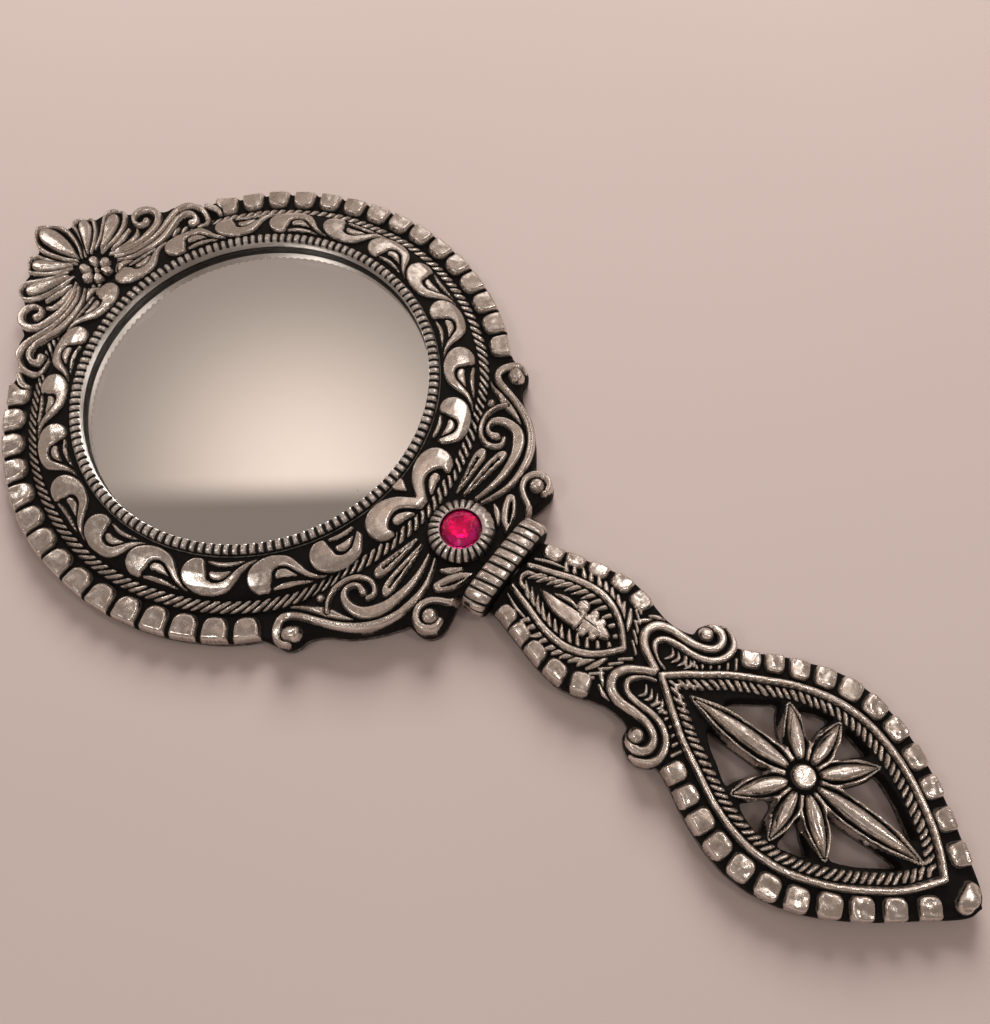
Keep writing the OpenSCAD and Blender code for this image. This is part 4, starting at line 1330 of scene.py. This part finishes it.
def plain_metal(name, a, b, r0, r1):
    m = Mat(name)
    n = m.noise(0.8, 5, 0.65)
    f = m.noise(5.0, 3, 0.6, m.stretch(1, 6, 1))
    m.set(Base_Color=m.ramp(n, [(0.3, a), (0.7, b)]), Metallic=1.0, Roughness=m.map(n, 0.3, 0.7, r0, r1))
    m.bump((f, 0.25, 0.05), (n, 0.25, 0.12))
    return m.m


def assign(ob, mat):
    ob.data.materials.clear()
    ob.data.materials.append(mat)
    return ob


# ---------------------------------------------------------------------------
# Pieces
# ---------------------------------------------------------------------------
CAST = antiqued("antiqued_casting")
# the handle's copy of the casting metal has a lighter buffed colour than the head's: painted light on the handle; its
# larger noise gain is the rougher casting
CAST_H = antiqued("antiqued_handle", bright=(0.82, 0.75, 0.695), rough=(0.15, 0.34), gain=1.35)
BEZEL = bezel_metal("bezel_metal")


def add(ob, node, mat):
    assign(ob, mat)
    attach(ob, "root")
    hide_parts(node)
    return ob


band = add(outward(polar_band("head_band")), "head_frame", CAST)
flange = add(outward(relief_plate("head_border", [head_loop()], head_surface, head_ease, FLANGE_STEP, BACK_Z,
                                  (-58, -68), (58, 76), 4, (10.4, NECK_Y), keep_out=R_SEAM - 0.12, tuck=0.16)),
             "head_frame", CAST)
handle = add(outward(relief_plate("handle_casting", [handle_loop()] + hole_loops(), handle_surface, handle_ease,
                                  HANDLE_STEP, BACK_Z, (-23, -169.5), (23, -70), 4, (8.2, -70.9))),
             "handle", CAST_H)
ring = add(outward(milled_ring("milled_ring")), "milled_bezel", BEZEL)
cup = add(outward(fluted_cup("fluted_cup")), "gem_cup", BEZEL)
stone = add(outward(cut_stone("cut_stone")), "gemstone", stone_mat("red_stone"))
collar = add(collar_roll("collar_roll"), "neck_collar", CAST)

glass = add(outward(glass_disc("glass_disc")), "mirror_glass", glass_mat("clear_glass"))

assign(N["mirror_silvering"], silver_mat("silvering"))
assign(N["backing_pad"], felt_mat("felt"))
assign(N["back_plate"], cover_mat("cover_metal"))
assign(N["back_screws"], plain_metal("screw_brass", (0.42, 0.31, 0.14), (0.62, 0.47, 0.23), 0.28, 0.45))
assign(N["dowel_pins"], plain_metal("pin_brass", (0.42, 0.31, 0.14), (0.62, 0.47, 0.23), 0.28, 0.45))
assign(N["neck_dowel"], plain_metal("dowel_steel", (0.30, 0.30, 0.31), (0.48, 0.48, 0.49), 0.28, 0.42))
assign(N["gem_foil"], foil_mat("foil"))

# ---------------------------------------------------------------------------
# Floor, lights and camera
# ---------------------------------------------------------------------------
scene = bpy.context.scene


def floor():
    me = bpy.data.meshes.new("floor")
    s = 3.0
    me.from_pydata([(-s, -s, -5e-5), (s, -s, -5e-5), (s, s, -5e-5), (-s, s, -5e-5)], [], [(0, 1, 2, 3)])
    ob = bpy.data.objects.new("floor", me)
    scene.collection.objects.link(ob)
    m = Mat("floor_paint")
    n = m.noise(0.004, 2, 0.5)
    m.set(Base_Color=m.ramp(n, [(0.3, (0.515, 0.437, 0.415)), (0.7, (0.54, 0.458, 0.437))]), Roughness=0.7,
          Specular_IOR_Level=0.2)
    m.bump((m.noise(0.5, 3, 0.5), 0.03, 0.05))
    me.materials.append(m.m)
    return ob


floor()


def area(name, loc, aim, size, power, colour=(1, 0.95, 0.9), size_y=None):
    d = bpy.data.lights.new(name, "AREA")
    d.shape = "RECTANGLE"
    d.size = size
    d.size_y = size_y or size
    d.energy = power
    d.color = colour
    o = bpy.data.objects.new(name, d)
    scene.collection.objects.link(o)
    o.location = loc
    o.rotation_euler = (Vector(aim) - Vector(loc)).to_track_quat("-Z", "Y").to_euler()
    return o


MID = (0.0, -0.03, 0.0)
# a wide soft key, low on the far side, and small soft lamps overhead for the highlights
key = area("key", (0.76, 0.48, 0.56), MID, 0.60, 14.0, (1.0, 0.95, 0.91), 0.46)
key.visible_glossy = False
area("key_sheen", (0.86, 0.52, 0.70), MID, 0.42, 0.62, (1.0, 0.95, 0.90), 0.36)
area("left_fill", (-1.0, -0.55, 0.55), MID, 0.4, 0.5, (1.0, 0.94, 0.92), 0.4)
area("lamp_a", (-0.56, 0.20, 0.95), MID, 0.24, 1.3, (1.0, 0.95, 0.90), 0.22)
area("lamp_b", (0.02, 0.98, 0.80), MID, 0.18, 0.65, (1.0, 0.95, 0.90), 0.13)
area("lamp_c", (0.27, -0.50, 0.95), MID, 0.12, 0.9, (1.0, 0.95, 0.90), 0.12)
# a small one close by, which lights no surface and only glints on the metal of the lower half
glint = area("lamp_d", (0.20, -0.07, 0.26), (0.0, -0.08, 0.0), 0.10, 0.085, (1.0, 0.95, 0.91), 0.10)
glint.visible_diffuse = False
glint.visible_camera = False


def studio_world():
    """A soft room: one broad glow high on the far side, a small one overhead, and dim elsewhere."""
    w = bpy.data.worlds.new("studio")
    w.use_nodes = True
    t = w.node_tree
    t.nodes.clear()
    out = t.nodes.new("ShaderNodeOutputWorld")
    bg = t.nodes.new("ShaderNodeBackground")
    t.links.new(bg.outputs[0], out.inputs["Surface"])
    co = t.nodes.new("ShaderNodeTexCoord")

    def along(direction, lo, hi, shape="LINEAR"):
        dot = t.nodes.new("ShaderNodeVectorMath")
        dot.operation = "DOT_PRODUCT"
        t.links.new(co.outputs["Generated"], dot.inputs[0])
        dot.inputs[1].default_value = direction
        mp = t.nodes.new("ShaderNodeMapRange")
        mp.interpolation_type = shape
        t.links.new(dot.outputs["Value"], mp.inputs["Value"])
        mp.inputs["From Min"].default_value = lo
        mp.inputs["From Max"].default_value = hi
        mp.inputs["To Min"].default_value = 0.0
        mp.inputs["To Max"].default_value = 1.0
        return mp.outputs["Result"]

    def calc(op, a, b, c=None):
        n = t.nodes.new("ShaderNodeMath")
        n.operation = op
        for k, v in enumerate((a, b, c)):
            if v is None:
                continue
            if isinstance(v, (int, float)):
                n.inputs[k].default_value = v
            else:
                t.links.new(v, n.inputs[k])
        return n.outputs[0]

    glow = calc("POWER", along(GLOW, 0.966, 1.0), 2.2)
    room = calc("MULTIPLY_ADD", glow, 0.64, 0.35)
    far = along(NEAR_SIDE, -0.022, 0.022, "SMOOTHSTEP")
    near = calc("MULTIPLY_ADD", calc("POWER", along(NEAR_GLOW, 0.955, 1.0), 1.5), 0.75, DIM)
    lit = calc("MULTIPLY_ADD", calc("SUBTRACT", room, near), far, near)
    t.links.new(lit, bg.inputs["Strength"])
    bg.inputs["Color"].default_value = (1.0, 0.81, 0.70, 1)
    return w


GLOW = (0.18, 0.446, 0.877)
NEAR_SIDE = (0.78, 0.62, -0.463)
NEAR_GLOW = (0.24, 0.02, 0.971)
DIM = 0.245
scene.world = studio_world()

cam = bpy.data.cameras.new("camera")
cam.sensor_fit = "AUTO"
cam.sensor_width = 36
cam.lens = 29.93
cam.clip_start = 0.005
camo = bpy.data.objects.new("camera", cam)
scene.collection.objects.link(camo)
camo.rotation_mode = "XYZ"
camo.location = (-0.04234, -0.10521, 0.16381)
camo.rotation_euler = [math.radians(a) for a in (23.055, 1.991, -52.259)]
scene.camera = camo

scene.view_settings.view_transform = "Standard"
